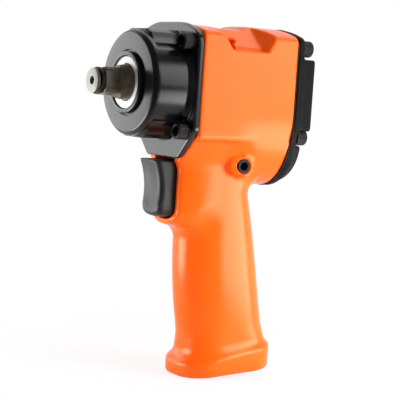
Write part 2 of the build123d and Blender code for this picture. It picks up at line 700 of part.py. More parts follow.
def hammer_case():
    """The case with its flange, bores, scallops and nose."""
    body = case_shell() + case_pads() + prism_x(flange_outline(), flange_back_x, FLANGE_X)
    for y, z in corners(FRONT_SCREW_Z):
        body -= cyl_x(SCALLOP_R, FLANGE_X, case_front_x - CASE_DISC_T, y, z)
        body -= cyl_x(SCREW_R + FREE, flange_back_x - OVER, FLANGE_X + OVER, y, z)
    body -= cyl_x(CHAMBER_R, flange_back_x - OVER, chamber_front_x)
    body -= ring_x(BOSS_R + FACE_GROOVE_W, BOSS_R, case_front_x - FACE_GROOVE_DEPTH, case_front_x + OVER)
    body += cyl_x(BOSS_R, case_front_x - OVER, case_front_x + BOSS_PROUD)
    return body - cyl_x(nose_bore_r, chamber_front_x - OVER, case_front_x + BOSS_PROUD + OVER)


save("hammer_case", hammer_case())


# Gaskets between the housing and its two ends
def front_gasket():
    """A flange-shaped sheet with the chamber's bore and the screw holes."""
    sheet = prism_x(flange_outline(-GASKET_INSET), housing_front_x, flange_back_x)
    sheet -= cyl_x(CHAMBER_R, housing_front_x - OVER, flange_back_x + OVER)
    for y, z in corners(FRONT_SCREW_Z):
        sheet -= cyl_x(SCREW_R + FREE, housing_front_x - OVER, flange_back_x + OVER, y, z)
    return sheet


def rear_gasket():
    """A sheet with the rear outline, the motor's bore, the spool's bore and the screw holes."""
    x0, x1 = cover_front_x, housing_rear_x
    sheet = rear_outline(x0, x1, HEAD_CROWN_Z)
    sheet -= cyl_x(COVER_RECESS_R, x0 - OVER, x1 + OVER)
    sheet -= cyl_x(SPOOL_R + RUN, x0 - OVER, x1 + OVER, 0, SPOOL_Z)
    for y, z in corners(REAR_SCREW_Z):
        sheet -= cyl_x(SCREW_R + FREE, x0 - OVER, x1 + OVER, y, z)
    return sheet


save("front_gasket", front_gasket())
save("rear_gasket", rear_gasket())


# Rear cover: screwed plate with a raised block over the motor and a lobe over the spool
def rear_cover():
    """The cover with its recess for the motor and its spool and detent holes."""
    body = rear_outline(cover_flange_x, cover_front_x, HEAD_CROWN_Z)
    body += box(cover_block_x, cover_flange_x, -cover_block_half_w, cover_block_half_w,
                AXIS_Z - COVER_BLOCK_BOTTOM, AXIS_Z + COVER_BLOCK_TOP)
    lobe_h = cover_flange_x - cover_lobe_x
    lobe = Rot(0, -90, 0) * Cone(cover_lobe_root_r, cover_lobe_r, lobe_h)
    lobe = Pos((cover_flange_x + cover_lobe_x) / 2, 0, AXIS_Z - COVER_LOBE_Z) * lobe
    body += lobe - box(cover_lobe_x - OVER, cover_flange_x + OVER, -lobe_r - OVER, lobe_r + OVER,
                       AXIS_Z - COVER_LOBE_TOP, AXIS_Z)
    body -= cyl_x(COVER_RECESS_R, cover_front_x - COVER_RECESS_DEPTH, cover_front_x + OVER)
    body -= cyl_x(SPOOL_STEM_R + RUN, cover_lobe_x - OVER, cover_front_x + OVER, 0, SPOOL_Z)
    body -= cyl_x(DETENT_BALL_R + RUN, cover_lobe_x - OVER, cover_lobe_x + DETENT_DEPTH,
                  DETENT_PITCH_R, SPOOL_Z)
    for y, z in corners(REAR_SCREW_Z):
        body -= cyl_x(WASHER_R + FREE, cover_block_x - OVER, cover_flange_x, y, z)
        body -= cyl_x(SCREW_R + FREE, cover_flange_x - OVER, cover_front_x + OVER, y, z)
    body -= cyl_x(DOWEL_R + FIT, dowel_back_x, cover_front_x,
                  0, AXIS_Z - dowel_pitch_r)
    return body


save("rear_cover", rear_cover())


# Corner screws and washers
def cap_screw(seat_x, tip_x, y, z):
    """A socket cap screw whose head sits on seat_x and whose thread ends at tip_x."""
    out = 1 if seat_x > tip_x else -1
    top = seat_x + out * SCREW_HEAD_H
    body = cyl_x(SCREW_HEAD_R, seat_x, top, y, z) + cyl_x(SCREW_R, tip_x, seat_x, y, z)
    return body - hex_x(SCREW_KEY_R, top - out * SCREW_KEY_DEPTH, top + out, y, z)


front_seat_x = FLANGE_X + WASHER_T
front_tip_x = housing_front_x - FRONT_SCREW_GRIP
rear_seat_x = cover_flange_x - WASHER_T
rear_tip_x = housing_rear_x + REAR_SCREW_GRIP
front_places = corners(FRONT_SCREW_Z)
rear_places = corners(REAR_SCREW_Z)
hole_r = SCREW_R + FREE
save("front_screws", Compound(children=[cap_screw(front_seat_x, front_tip_x, y, z) for y, z in front_places]))
save("rear_screws", Compound(children=[cap_screw(rear_seat_x, rear_tip_x, y, z) for y, z in rear_places]))
save("front_washers", Compound(children=[
    ring_x(WASHER_R, hole_r, FLANGE_X, front_seat_x, y, z) for y, z in front_places]))
save("rear_washers", Compound(children=[
    ring_x(WASHER_R, hole_r, rear_seat_x, cover_flange_x, y, z) for y, z in rear_places]))


# Anvil and what it carries and runs in
shank_end_x = case_front_x + SHANK_PROUD
square_end_x = shank_end_x + SHANK_CONE + SQUARE_LENGTH
ring_end_x = square_end_x + RING_GROOVE_W
nose_end_x = ring_end_x + NOSE_T


def anvil():
    """Forged and turned: pilot, striking jaw, collar, shank, square and nose."""
    body = cyl_x(PILOT_R, cage_back_x + FREE, dog_back_x)
    body += cyl_x(JAW_CORE_R, dog_back_x, collar_back_x)
    jaw = cyl_x(JAW_R, dog_back_x, collar_back_x)
    reach = JAW_R * 2
    half = radians(JAW_ANGLE / 2)
    wedge = Polyline((0, 0), (reach * sin(half), reach * cos(half)),
                     (-reach * sin(half), reach * cos(half)), close=True)
    body += jaw & prism_x(wedge, dog_back_x - OVER, collar_back_x + OVER)
    body += cyl_x(COLLAR_R, collar_back_x, collar_front_x)
    body += cyl_x(SHANK_R, collar_front_x, shank_end_x)
    cone = Polyline((shank_end_x, 0), (shank_end_x + SHANK_CONE, 0),
                    (shank_end_x + SHANK_CONE, SQUARE / 2), (shank_end_x, SHANK_R), close=True)
    body += turned(cone)
    place = Plane((shank_end_x, 0, AXIS_Z), x_dir=(0, 1, 0), z_dir=(1, 0, 0))
    square = place * Rot(0, 0, SQUARE_TURN) * RectangleRounded(SQUARE, SQUARE, SQUARE_ROUND)
    body += extrude(square, amount=square_end_x - shank_end_x, dir=(1, 0, 0))
    body += cyl_x(RING_GROOVE_R, square_end_x, ring_end_x)
    body += cyl_x(NOSE_R, ring_end_x, nose_end_x)
    return body - cyl_x(NOSE_HOLE_R, nose_end_x - NOSE_HOLE_DEPTH, nose_end_x + OVER)


def friction_ring():
    """A split ring that grips the socket."""
    inner = RING_GROOVE_R + ORING_WIRE + FIT
    ring = ring_x(FRICTION_RING_R, inner, square_end_x + FREE, ring_end_x - FREE)
    half = FRICTION_RING_GAP / 2
    return ring - box(square_end_x, ring_end_x, -half, half, AXIS_Z - 2 * FRICTION_RING_R, AXIS_Z)


def oring_x(r_in, wire, x, y=0.0, z=AXIS_Z):
    """A rubber ring round an X axis, with r_in inside."""
    return Pos(x, y, z) * Rot(0, 90, 0) * Torus(r_in + wire / 2, wire / 2)


save("anvil", anvil())
save("friction_ring", friction_ring())
save("anvil_oring", oring_x(RING_GROOVE_R + FIT / 2, ORING_WIRE, (square_end_x + ring_end_x) / 2))
save("anvil_bush", ring_x(nose_bore_r - FIT, SHANK_R + RUN, chamber_front_x, case_front_x + BUSH_PROUD))
save("thrust_washer", ring_x(SHANK_R + RUN + THRUST_WASHER_WALL, SHANK_R + FREE,
                             washer_back_x, chamber_front_x))


# Hammer cage, pins and dog
def spline_curve(grow):
    """A round shaft with straight-sided teeth, in (y, z)."""
    root = SHAFT_R - SPLINE_DEPTH + grow
    tip = SHAFT_R + grow
    step = 2 * pi / SPLINE_TEETH
    points = []
    for tooth in range(SPLINE_TEETH):
        for share, r in ((-SPLINE_ROOT_SHARE, root), (-SPLINE_TIP_SHARE, tip),
                         (SPLINE_TIP_SHARE, tip), (SPLINE_ROOT_SHARE, root)):
            a = (tooth + share) * step
            points.append((r * cos(a), r * sin(a)))
    return Polyline(*points, close=True)


def pin_places():
    """The pivot pin above the axis and the stop pin below it."""
    return [AXIS_Z + PIN_PITCH_R, AXIS_Z - PIN_PITCH_R]


def hammer_cage():
    """Two plates joined by two side webs, with a splined hub."""
    body = cyl_x(cage_r, cage_back_x, cage_front_x)
    body -= box(cage_plate_x, dog_front_x + FREE, -CAGE_WEB_Y, CAGE_WEB_Y,
                AXIS_Z - 2 * CHAMBER_R, AXIS_Z + 2 * CHAMBER_R)
    body += cyl_x(CAGE_HUB_R, hub_back_x, cage_back_x)
    body -= cyl_x(JAW_R + FREE, dog_front_x, cage_front_x + OVER)
    body -= cyl_x(PILOT_R + RUN, cage_back_x - OVER, cage_plate_x + OVER)
    body -= prism_x(spline_curve(RUN), hub_back_x - OVER, cage_back_x)
    for z in pin_places():
        body -= cyl_x(PIN_R + FIT, cage_back_x - OVER, cage_front_x + OVER, 0, z)
    return body


def hammer_dog():
    """A hoop round the anvil, with a striking lug, hung on the pivot pin."""
    body = cyl_x(DOG_R, dog_back_x, dog_front_x)
    body &= box(dog_back_x, dog_front_x, -DOG_HALF_W, DOG_HALF_W, AXIS_Z - DOG_R, AXIS_Z + DOG_R)
    body -= cyl_x(DOG_BORE_R, dog_back_x - OVER, dog_front_x + OVER)
    body += box(dog_back_x, dog_front_x, -DOG_LUG_HALF_W, DOG_LUG_HALF_W,
                AXIS_Z - DOG_BORE_R - OVER, AXIS_Z - DOG_LUG_R)
    body -= cyl_x(PIN_R + RUN, dog_back_x - OVER, dog_front_x + OVER, 0, AXIS_Z + PIN_PITCH_R)
    swing = 2 * PIN_PITCH_R * sin(radians(DOG_ROCK))
    half = PIN_R + swing + FREE
    return body - box(dog_back_x - OVER, dog_front_x + OVER, -half, half,
                      AXIS_Z - 2 * DOG_R, AXIS_Z - PIN_PITCH_R + DOG_SLOT_DEPTH)


save("hammer_cage", hammer_cage())
save("hammer_dog", hammer_dog())
save("hammer_pins", Compound(children=[cyl_x(PIN_R, cage_back_x, cage_front_x, 0, z) for z in pin_places()]))


# Air motor
def rotor():
    """Slotted rotor with a splined front shaft and a plain rear shaft."""
    body = cyl_x(ROTOR_R, rotor_back_x, rotor_front_x)
    for number in range(VANE_COUNT):
        slot = box(rotor_back_x - OVER, rotor_front_x + OVER, -VANE_T / 2 - VANE_GAP, VANE_T / 2 + VANE_GAP,
                   ROTOR_R - VANE_DEPTH - FREE, ROTOR_R + OVER)
        body -= Pos(0, 0, AXIS_Z) * Rot(number * 360 / VANE_COUNT, 0, 0) * slot
    body += cyl_x(SHAFT_R, motor_back_x + FREE, motor_front_x)
    tip_x = cage_back_x - FREE
    return body + prism_x(spline_curve(0), motor_front_x - OVER, tip_x)


def rotor_vanes():
    """Flat vanes, drawn in to the rotor's rim."""
    vane = box(rotor_back_x, rotor_front_x, -VANE_T / 2, VANE_T / 2, ROTOR_R - VANE_DEPTH, ROTOR_R)
    turns = [Rot(number * 360 / VANE_COUNT, 0, 0) for number in range(VANE_COUNT)]
    return Compound(children=[Pos(0, 0, AXIS_Z) * turn * vane for turn in turns])


def cylinder_liner():
    """The motor's cylinder: bore set off from the rotor's axis, with exhaust ports below."""
    body = cyl_x(LINER_R, liner_back_x, liner_front_x)
    body -= cyl_x(LINER_BORE_R, liner_back_x - OVER, liner_front_x + OVER, 0, AXIS_Z + LINER_OFFSET)
    body -= cyl_x(DOWEL_R + FIT, liner_back_x - OVER, liner_front_x + OVER, 0, AXIS_Z - dowel_pitch_r)
    for number in range(PORT_COUNT):
        x = liner_front_x - PORT_W * (1.5 + 2 * number)
        port = box(x - PORT_W / 2, x + PORT_W / 2, SIDE_DUCT_Y, SIDE_DUCT_Y + SIDE_DUCT_W,
                   AXIS_Z - 2 * LINER_R, AXIS_Z)
        body -= both_sides(port)
    return body


def end_plate(inner_x, outer_x):
    """A motor end plate, with a bearing seat that opens away from the rotor."""
    out = 1 if outer_x > inner_x else -1
    body = cyl_x(LINER_R, inner_x, outer_x)
    body -= cyl_x(BEARING_R + FIT, inner_x + out * END_WALL, outer_x + out)
    body -= cyl_x(SHAFT_R + FREE, inner_x - out, outer_x)
    pin_end = outer_x - out * (END_PLATE_T - DOWEL_BITE) if out > 0 else outer_x - OVER
    return body - cyl_x(DOWEL_R + FIT, inner_x - out, pin_end, 0, AXIS_Z - dowel_pitch_r)


def bearing(x0, x1):
    """Outer ring, inner ring and balls of a deep-groove bearing."""
    mid_x = (x0 + x1) / 2
    pitch_r = (SHAFT_R + BEARING_R) / 2
    race = Pos(mid_x, 0, AXIS_Z) * Rot(0, 90, 0) * Torus(pitch_r, BALL_R + RACE_GAP)
    outer = ring_x(BEARING_R, BEARING_R - BEARING_RING_T, x0, x1) - race
    inner = ring_x(SHAFT_R + BEARING_RING_T, SHAFT_R + FIT, x0, x1) - race
    balls = []
    for number in range(BALL_COUNT):
        a = 2 * pi * number / BALL_COUNT
        balls.append(Pos(mid_x, pitch_r * cos(a), AXIS_Z + pitch_r * sin(a)) * Sphere(BALL_R))
    return outer, inner, Compound(children=balls)


save("rotor", rotor())
save("rotor_vanes", rotor_vanes())
save("cylinder_liner", cylinder_liner())
save("front_end_plate", end_plate(liner_front_x, motor_front_x))
save("rear_end_plate", end_plate(liner_back_x, motor_back_x))
save("liner_dowel", cyl_x(DOWEL_R, dowel_back_x, liner_front_x + DOWEL_BITE, 0, AXIS_Z - dowel_pitch_r))
for name, seat_x, out in (("front", liner_front_x + END_WALL, 1), ("rear", liner_back_x - END_WALL, -1)):
    ring_out, ring_in, balls = bearing(seat_x, seat_x + out * BEARING_W)
    save(name + "_bearing_outer", ring_out)
    save(name + "_bearing_inner", ring_in)
    save(name + "_bearing_balls", balls)


# Trigger group
def trigger():
    """Moulded trigger with a hollow for the finger."""
    tip, toe, back = TRIGGER_TIP_X, TRIGGER_TOE_X, TRIGGER_BACK_X
    top, low = TRIGGER_TOP_Z, TRIGGER_BOTTOM_Z
    toe_z = low + TRIGGER_TOE_Z
    under_x = toe - TRIGGER_TOE_R
    bend = 1 - cos(pi / 4)
    hollow = ThreePointArc((tip, top), (TRIGGER_WAIST_X, (top + toe_z) / 2), (toe, toe_z))
    corner = (toe - bend * TRIGGER_TOE_R, low + bend * TRIGGER_TOE_Z)
    round_toe = ThreePointArc((toe, toe_z), corner, (under_x, low))
    rest = Polyline((under_x, low), (back, low), (back, top), (tip, top))
    body = prism_y(hollow + round_toe + rest, TRIGGER_HALF_W)
    body = fillet(body.edges().filter_by(GeomType.CIRCLE), TRIGGER_ROUND)
    return body - cyl_x(ROD_R + FIT, back - OVER, back + ROD_BITE, 0, TRIGGER_Z)


clip_front_x = CHAMBER_FRONT_X - FREE
clip_back_x = clip_front_x - ROD_CLIP_T
rod_tip_x = STEM_R + ROD_GAP
save("trigger", trigger())
save("trigger_rod", cyl_x(ROD_R, rod_tip_x, TRIGGER_BACK_X + ROD_BITE - FREE, 0, TRIGGER_Z)
     - ring_x(ROD_R + OVER, ROD_R - ROD_GROOVE, clip_back_x, clip_front_x, 0, TRIGGER_Z))
save("rod_clip", ring_x(ROD_CLIP_R, ROD_R - ROD_GROOVE + FIT,
                        clip_back_x + FIT, clip_front_x - FIT, 0, TRIGGER_Z)
     - box(clip_back_x, clip_front_x, -ROD_R / 2, ROD_R / 2, TRIGGER_Z - 2 * ROD_CLIP_R, TRIGGER_Z))
save("rod_bush", ring_x(ROD_BUSH_R, ROD_R + RUN, CHAMBER_FRONT_X, pocket_back_x, 0, TRIGGER_Z))
trigger_spring = coil(TRIGGER_SPRING_R, SPRING_WIRE_R, TRIGGER_BACK_X - pocket_back_x, TRIGGER_SPRING_TURNS)
save("trigger_spring", Pos(pocket_back_x, 0, TRIGGER_Z) * Rot(0, 90, 0) * trigger_spring)


# Throttle valve, its seat and its spring
pad_top_z = SEAT_Z
valve_top_z = pad_top_z - VALVE_PAD_T
valve_low_z = valve_top_z - VALVE_T
stem_top_z = TRIGGER_Z + STEM_TOP
screen_z = INLET_BUSH_H
spring_low_z = screen_z + SCREEN_T
save("throttle_valve", cyl_z(VALVE_R, valve_low_z, valve_top_z)
     + cyl_z(STEM_R, valve_top_z - OVER, stem_top_z))
save("valve_pad", ring_z(VALVE_R, STEM_R + FIT, valve_top_z, pad_top_z - FIT))
save("valve_seat", ring_z(VALVE_BORE_R - FIT, SEAT_BORE_R, SEAT_Z, seat_top_z))
save("valve_spring", Pos(0, 0, spring_low_z) * coil(
    VALVE_SPRING_R, SPRING_WIRE_R, valve_low_z - spring_low_z, VALVE_SPRING_TURNS))


# Air inlet
def inlet_bush():
    """Flanged bush with a pipe thread at its mouth, drawn as its bore."""
    body = cyl_z(INLET_BUSH_R, 0, INLET_BUSH_H)
    body += cyl_z(INLET_FLANGE_R, 0, INLET_FLANGE_T - INLET_SEAL_WIRE)
    body -= cyl_z(INLET_THREAD_R, -OVER, INLET_THREAD_LENGTH)
    return body - cyl_z(INLET_BORE_R, 0, INLET_BUSH_H + OVER)


def inlet_screen():
    """Punched disc over the bush's bore."""
    body = cyl_z(VALVE_BORE_R - FREE, screen_z, screen_z + SCREEN_T)
    rows = int(INLET_BORE_R / SCREEN_PITCH)
    for row in range(-rows, rows + 1):
        for column in range(-rows, rows + 1):
            x, y = row * SCREEN_PITCH, column * SCREEN_PITCH
            if (x * x + y * y) ** 0.5 < INLET_BORE_R - SCREEN_HOLE_R:
                body -= cyl_z(SCREEN_HOLE_R, screen_z - OVER, screen_z + SCREEN_T + OVER, x, y)
    return body


save("inlet_bush", inlet_bush())
save("inlet_seal", ring_z(INLET_FLANGE_R, INLET_BUSH_R + FIT,
                          INLET_FLANGE_T - INLET_SEAL_WIRE, INLET_FLANGE_T))
save("inlet_screen", inlet_screen())


# Exhaust deflector and silencer in the foot
def exhaust_deflector():
    """Slotted plate, flush with the sole."""
    half_w = EXHAUST_HALF_W + DEFLECTOR_RIM - FREE
    x0, x1 = MUFFLER_BACK_X - DEFLECTOR_RIM + FREE, muffler_front_x + DEFLECTOR_RIM - FREE
    body = box(x0, x1, -half_w, half_w, deflector_low_z, deflector_top_z)
    pitch = 2 * EXHAUST_HALF_W / DEFLECTOR_SLOTS
    for number in range(DEFLECTOR_SLOTS):
        y = (number - (DEFLECTOR_SLOTS - 1) / 2) * pitch
        body -= box(MUFFLER_BACK_X, muffler_front_x, y - DEFLECTOR_SLOT_W / 2, y + DEFLECTOR_SLOT_W / 2,
                    deflector_low_z - OVER, deflector_top_z + OVER)
    return body


save("exhaust_deflector", exhaust_deflector())
save("exhaust_silencer", box(MUFFLER_BACK_X + FREE, muffler_front_x - FREE, -EXHAUST_HALF_W + FREE,
                             EXHAUST_HALF_W - FREE, deflector_top_z, MUFFLER_TOP_Z - FREE))


# Reversing group
spool_back_x = housing_rear_x + FREE
knob_front_x = cover_lobe_x - KNOB_GAP
knob_back_x = knob_front_x - KNOB_T
seal_x = cover_front_x - COVER_T / 2


def reverse_bush():
    """Ported sleeve that the spool turns in."""
    body = ring_x(reverse_bush_r, SPOOL_R + RUN, housing_rear_x, spool_front_x, 0, SPOOL_Z)
    body -= cyl_z(PASSAGE_R, SPOOL_Z - 2 * SPOOL_R, SPOOL_Z, PASSAGE_X)
    for y in (-REVERSE_PORT_Y, REVERSE_PORT_Y):
        body -= cyl_z(PASSAGE_R / 2, SPOOL_Z, SPOOL_Z + 2 * SPOOL_R, PASSAGE_X, y)
    return body


def reverse_spool():
    """Spool with a cross way, and a stem out through the rear cover."""
    body = cyl_x(SPOOL_R, spool_back_x, spool_front_x, 0, SPOOL_Z)
    core = cyl_x(SPOOL_CORE_R, spool_back_x, spool_front_x, 0, SPOOL_Z)
    body -= box(PASSAGE_X - SPOOL_WAIST / 2, PASSAGE_X + SPOOL_WAIST / 2, -2 * SPOOL_R, 2 * SPOOL_R,
                SPOOL_Z - PASSAGE_R, SPOOL_Z + PASSAGE_R) - core
    body += cyl_x(SPOOL_STEM_R, knob_back_x + FREE, spool_back_x, 0, SPOOL_Z)
    half = SPOOL_SEAL_GROOVE_W / 2
    body -= ring_x(SPOOL_STEM_R + OVER, SPOOL_STEM_R - SPOOL_SEAL_WIRE,
                   seal_x - half, seal_x + half, 0, SPOOL_Z)
    return body - cyl_x(KNOB_SCREW_R + FIT, knob_back_x, knob_back_x + KNOB_SCREW_BITE + FREE, 0, SPOOL_Z)


def reverse_knob():
    """Round knob with a finger bar across its back."""
    body = cyl_x(KNOB_R, knob_back_x, knob_front_x, 0, SPOOL_Z)
    bar = box(knob_back_x - KNOB_BAR_H, knob_back_x, -KNOB_BAR_HALF_W, KNOB_BAR_HALF_W,
              SPOOL_Z - KNOB_R, SPOOL_Z + KNOB_R)
    body += bar & cyl_x(KNOB_R, knob_back_x - KNOB_BAR_H, knob_back_x, 0, SPOOL_Z)
    body -= cyl_x(SPOOL_STEM_R + FIT, knob_back_x + FREE - FIT, knob_front_x + OVER, 0, SPOOL_Z)
    body -= cyl_x(KNOB_SCREW_R + FREE, knob_back_x - KNOB_BAR_H - OVER, knob_front_x, 0, SPOOL_Z)
    body -= cyl_x(KNOB_SCREW_HEAD_R + FIT, knob_back_x - KNOB_BAR_H - OVER, knob_back_x - FREE, 0, SPOOL_Z)
    track = Pos(knob_front_x + DETENT_BALL_R - DETENT_PROUD, 0, SPOOL_Z) * Rot(0, 90, 0)
    return body - track * Torus(DETENT_PITCH_R, DETENT_BALL_R + FREE)


def knob_screw():
    """Slotted screw that holds the knob on the stem."""
    head_x = knob_back_x - FREE
    body = cyl_x(KNOB_SCREW_HEAD_R, head_x - KNOB_SCREW_HEAD_H, head_x, 0, SPOOL_Z)
    body += cyl_x(KNOB_SCREW_R, head_x, knob_back_x + KNOB_SCREW_BITE, 0, SPOOL_Z)
    top_x = head_x - KNOB_SCREW_HEAD_H
    slot = KNOB_SCREW_R / 3
    return body - box(top_x - OVER, top_x + KNOB_SCREW_HEAD_H / 2, -KNOB_R, KNOB_R,
                      SPOOL_Z - slot, SPOOL_Z + slot)


ball_x = knob_front_x + DETENT_BALL_R - DETENT_PROUD
detent_floor_x = cover_lobe_x + DETENT_DEPTH
detent_length = detent_floor_x - ball_x - DETENT_BALL_R
detent_spring = coil(DETENT_BALL_R - DETENT_WIRE_R - RUN, DETENT_WIRE_R, detent_length, DETENT_TURNS)
save("reverse_bush", reverse_bush())
save("reverse_spool", reverse_spool())
save("reverse_knob", reverse_knob())
save("knob_screw", knob_screw())
save("spool_oring", oring_x(SPOOL_STEM_R - SPOOL_SEAL_WIRE + FIT / 2, SPOOL_SEAL_WIRE, seal_x, 0, SPOOL_Z))
save("detent_ball", Pos(ball_x, DETENT_PITCH_R, SPOOL_Z) * Sphere(DETENT_BALL_R))
save("detent_spring", Pos(ball_x + DETENT_BALL_R, DETENT_PITCH_R, SPOOL_Z) * Rot(0, 90, 0) * detent_spring)


# Side plugs and their sealing rings
def plug(side):
    """Socket plug screw, sunk a little below its boss."""
    face = side * (PLUG_FACE_Y - PLUG_SUNK)
    floor = side * (plug_floor_y + PLUG_SEAL_T)
    body = cyl_y(PLUG_R, floor, face, PLUG_X, PLUG_Z)
    place = Plane((PLUG_X, face + side, PLUG_Z), x_dir=(1, 0, 0), z_dir=(0, -side, 0))
    key = place * RegularPolygon(PLUG_KEY_R, 6, major_radius=False)
    return body - extrude(key, amount=PLUG_KEY_DEPTH + OVER, dir=(0, -side, 0))


def plug_seal(side):
    """Flat ring under the plug."""
    y0, y1 = side * plug_floor_y, side * (plug_floor_y + PLUG_SEAL_T)
    return cyl_y(PLUG_R, y0, y1, PLUG_X, PLUG_Z) - cyl_y(PLUG_KEY_R, y0 - OVER, y1 + OVER, PLUG_X, PLUG_Z)


save("side_plugs", Compound(children=[plug(side) for side in (-1, 1)]))
save("side_plug_seals", Compound(children=[plug_seal(side) for side in (-1, 1)]))
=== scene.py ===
import json

import bpy
import numpy as np
from mathutils import Matrix


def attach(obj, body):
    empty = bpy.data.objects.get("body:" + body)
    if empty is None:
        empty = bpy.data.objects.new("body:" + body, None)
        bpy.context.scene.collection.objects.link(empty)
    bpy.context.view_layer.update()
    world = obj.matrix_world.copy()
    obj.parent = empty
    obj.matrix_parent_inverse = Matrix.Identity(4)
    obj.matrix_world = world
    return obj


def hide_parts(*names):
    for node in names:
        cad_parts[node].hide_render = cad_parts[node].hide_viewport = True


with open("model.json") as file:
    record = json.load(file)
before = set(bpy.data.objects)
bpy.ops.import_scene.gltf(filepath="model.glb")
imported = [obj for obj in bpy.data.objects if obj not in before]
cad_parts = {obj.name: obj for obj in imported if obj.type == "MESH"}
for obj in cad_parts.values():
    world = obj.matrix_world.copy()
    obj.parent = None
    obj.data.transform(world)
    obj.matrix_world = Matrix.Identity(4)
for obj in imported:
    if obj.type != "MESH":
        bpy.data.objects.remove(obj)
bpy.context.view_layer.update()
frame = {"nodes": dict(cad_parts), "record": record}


# Motor housing: one aluminium casting of head, round chin, trigger block, pistol grip and foot.
# It is cast in a mould, so every inner corner has a fillet and every outer one a round; the two
# ends are then machined flat, and the bores and screw holes are drilled.
def smooth_max(a, b, k):
    """The larger of two distances, rounded over k mm where they are nearly equal."""
    near = np.maximum(k - np.abs(a - b), 0) / k
    return np.maximum(a, b) + near * near * k / 4


def smooth_min(a, b, k):
    """The smaller of two distances, with a fillet of about k mm where they meet."""
    return -smooth_max(-a, -b, k)


def slab(u, low, high):
    """Distance to the space between two planes, negative between them."""
    return np.maximum(low - u, u - high)


def rod(u, v, r):
    """Distance to a round rod whose axis is at u = v = 0."""
    return np.hypot(u, v) - r


def ease(u):
    """0 below 0, 1 above 1, and a smooth step between."""
    u = np.clip(u, 0, 1)
    return u * u * (3 - 2 * u)


def oval(u, v, a, b, p):
    """Distance to the oval |u/a|^p + |v/b|^p = 1, by the first step of Newton's method."""
    u, v = np.abs(u) / a + 1e-6, np.abs(v) / b + 1e-6
    size = (u**p + v**p) ** (1 / p)
    slope = size ** (1 - p) * np.hypot(u ** (p - 1) / a, v ** (p - 1) / b)
    return (size - 1) / slope


def rounded_plan(x, y, front, rear, half_w, r):
    """Distance to a rectangle with round corners, in plan: the corner's own distance less r."""
    u = np.abs(x - (front + rear) / 2) - (front - rear) / 2 + r
    v = y - half_w + r
    return np.hypot(np.maximum(u, 0), np.maximum(v, 0)) + np.minimum(np.maximum(u, v), 0) - r


MM = 0.001    # sizes are written in millimetres, and Blender works in metres


def finished_mesh(name, points, quads, crease=None):
    """A mesh from points in mm and four-cornered faces. Points that coincide become one, and a
    face that has lost a corner at a pole becomes a triangle. Edges that turn by more than crease
    degrees are shaded sharp."""
    _, first, back = np.unique(np.round(points, 4), axis=0, return_index=True, return_inverse=True)
    quads = back.reshape(-1)[quads]
    same = quads == np.roll(quads, -1, axis=1)
    lost = same.sum(axis=1)
    whole = quads[lost == 0]
    thirds = quads[lost == 1][~same[lost == 1]].reshape(-1, 3)
    corners = np.concatenate([whole.ravel(), thirds.ravel()])
    starts = np.concatenate([np.arange(len(whole)) * 4, len(whole) * 4 + np.arange(len(thirds)) * 3])
    mesh = bpy.data.meshes.new(name)
    mesh.vertices.add(len(first))
    mesh.vertices.foreach_set("co", (points[first] * MM).astype(np.float32).ravel())
    mesh.loops.add(len(corners))
    mesh.loops.foreach_set("vertex_index", corners.astype(np.int32))
    mesh.polygons.add(len(starts))
    mesh.polygons.foreach_set("loop_start", starts.astype(np.int32))
    mesh.polygons.foreach_set("use_smooth", np.ones(len(starts), bool))
    mesh.update(calc_edges=True)
    if crease:
        mesh.set_sharp_from_angle(angle=np.radians(crease))
    piece = bpy.data.objects.new(name, mesh)
    bpy.context.scene.collection.objects.link(piece)
    return piece


def cast_piece(name, field, low, high, cell):
    """The skin where field(x, y, z) is 0. One point is set in each cell of a grid that the skin
    crosses, at the mean of its edges' crossings, and is then drawn onto the skin along the field's
    slope. Each grid edge that the skin crosses gives one face between its four cells."""
    axes = [np.arange(a, b + cell, cell) for a, b in zip(low, high)]
    value = field(*np.meshgrid(*axes, indexing="ij"))
    inside = value < 0
    size = np.array(value.shape)
    count = np.zeros(size - 1)
    offset = np.zeros((*(size - 1), 3))
    crossings = []
    for axis in range(3):
        here = [slice(None)] * 3
        there = [slice(None)] * 3
        here[axis], there[axis] = slice(0, -1), slice(1, None)
        here, there = tuple(here), tuple(there)
        crossed = inside[here] != inside[there]
        share = np.where(crossed, value[here] / np.where(crossed, value[here] - value[there], 1), 0)
        crossings.append((crossed, inside[here]))
        one, two = (axis + 1) % 3, (axis + 2) % 3
        for a in (0, 1):
            for b in (0, 1):
                part = [slice(None)] * 3
                part[one] = slice(a, a + size[one] - 1)
                part[two] = slice(b, b + size[two] - 1)
                part = tuple(part)
                count += crossed[part]
                offset[..., axis] += share[part]
                offset[..., one] += a * crossed[part]
                offset[..., two] += b * crossed[part]
    cells = np.argwhere(count > 0)
    number = np.full(size - 1, -1)
    number[tuple(cells.T)] = np.arange(len(cells))
    points = cells + offset[tuple(cells.T)] / count[tuple(cells.T)][:, None]
    points = points * cell + np.array([a[0] for a in axes])
    quads = []
    for axis, (crossed, from_inside) in enumerate(crossings):
        one, two = (axis + 1) % 3, (axis + 2) % 3
        at = np.argwhere(crossed)
        out = from_inside[tuple(at.T)]
        ring = []
        for a, b in ((1, 1), (0, 1), (0, 0), (1, 0)):
            beside = at.copy()
            beside[:, one] -= a
            beside[:, two] -= b
            ring.append(number[tuple(beside.T)])
        ring = np.stack(ring, axis=1)
        quads.append(np.where(out[:, None], ring, ring[:, ::-1]))
    step, rounds, reach = 0.02, 5, 0.7 * cell
    start = points.copy()
    for _ in range(rounds):
        x, y, z = points.T
        away = field(x, y, z)
        slope = np.stack([field(x + step, y, z) - field(x - step, y, z),
                          field(x, y + step, z) - field(x, y - step, z),
                          field(x, y, z + step) - field(x, y, z - step)], axis=1) / (2 * step)
        move = slope * (away / np.maximum((slope * slope).sum(axis=1), 0.05))[:, None]
        points = start + np.clip(points - move - start, -reach, reach)
    return finished_mesh(name, points, np.concatenate(quads))


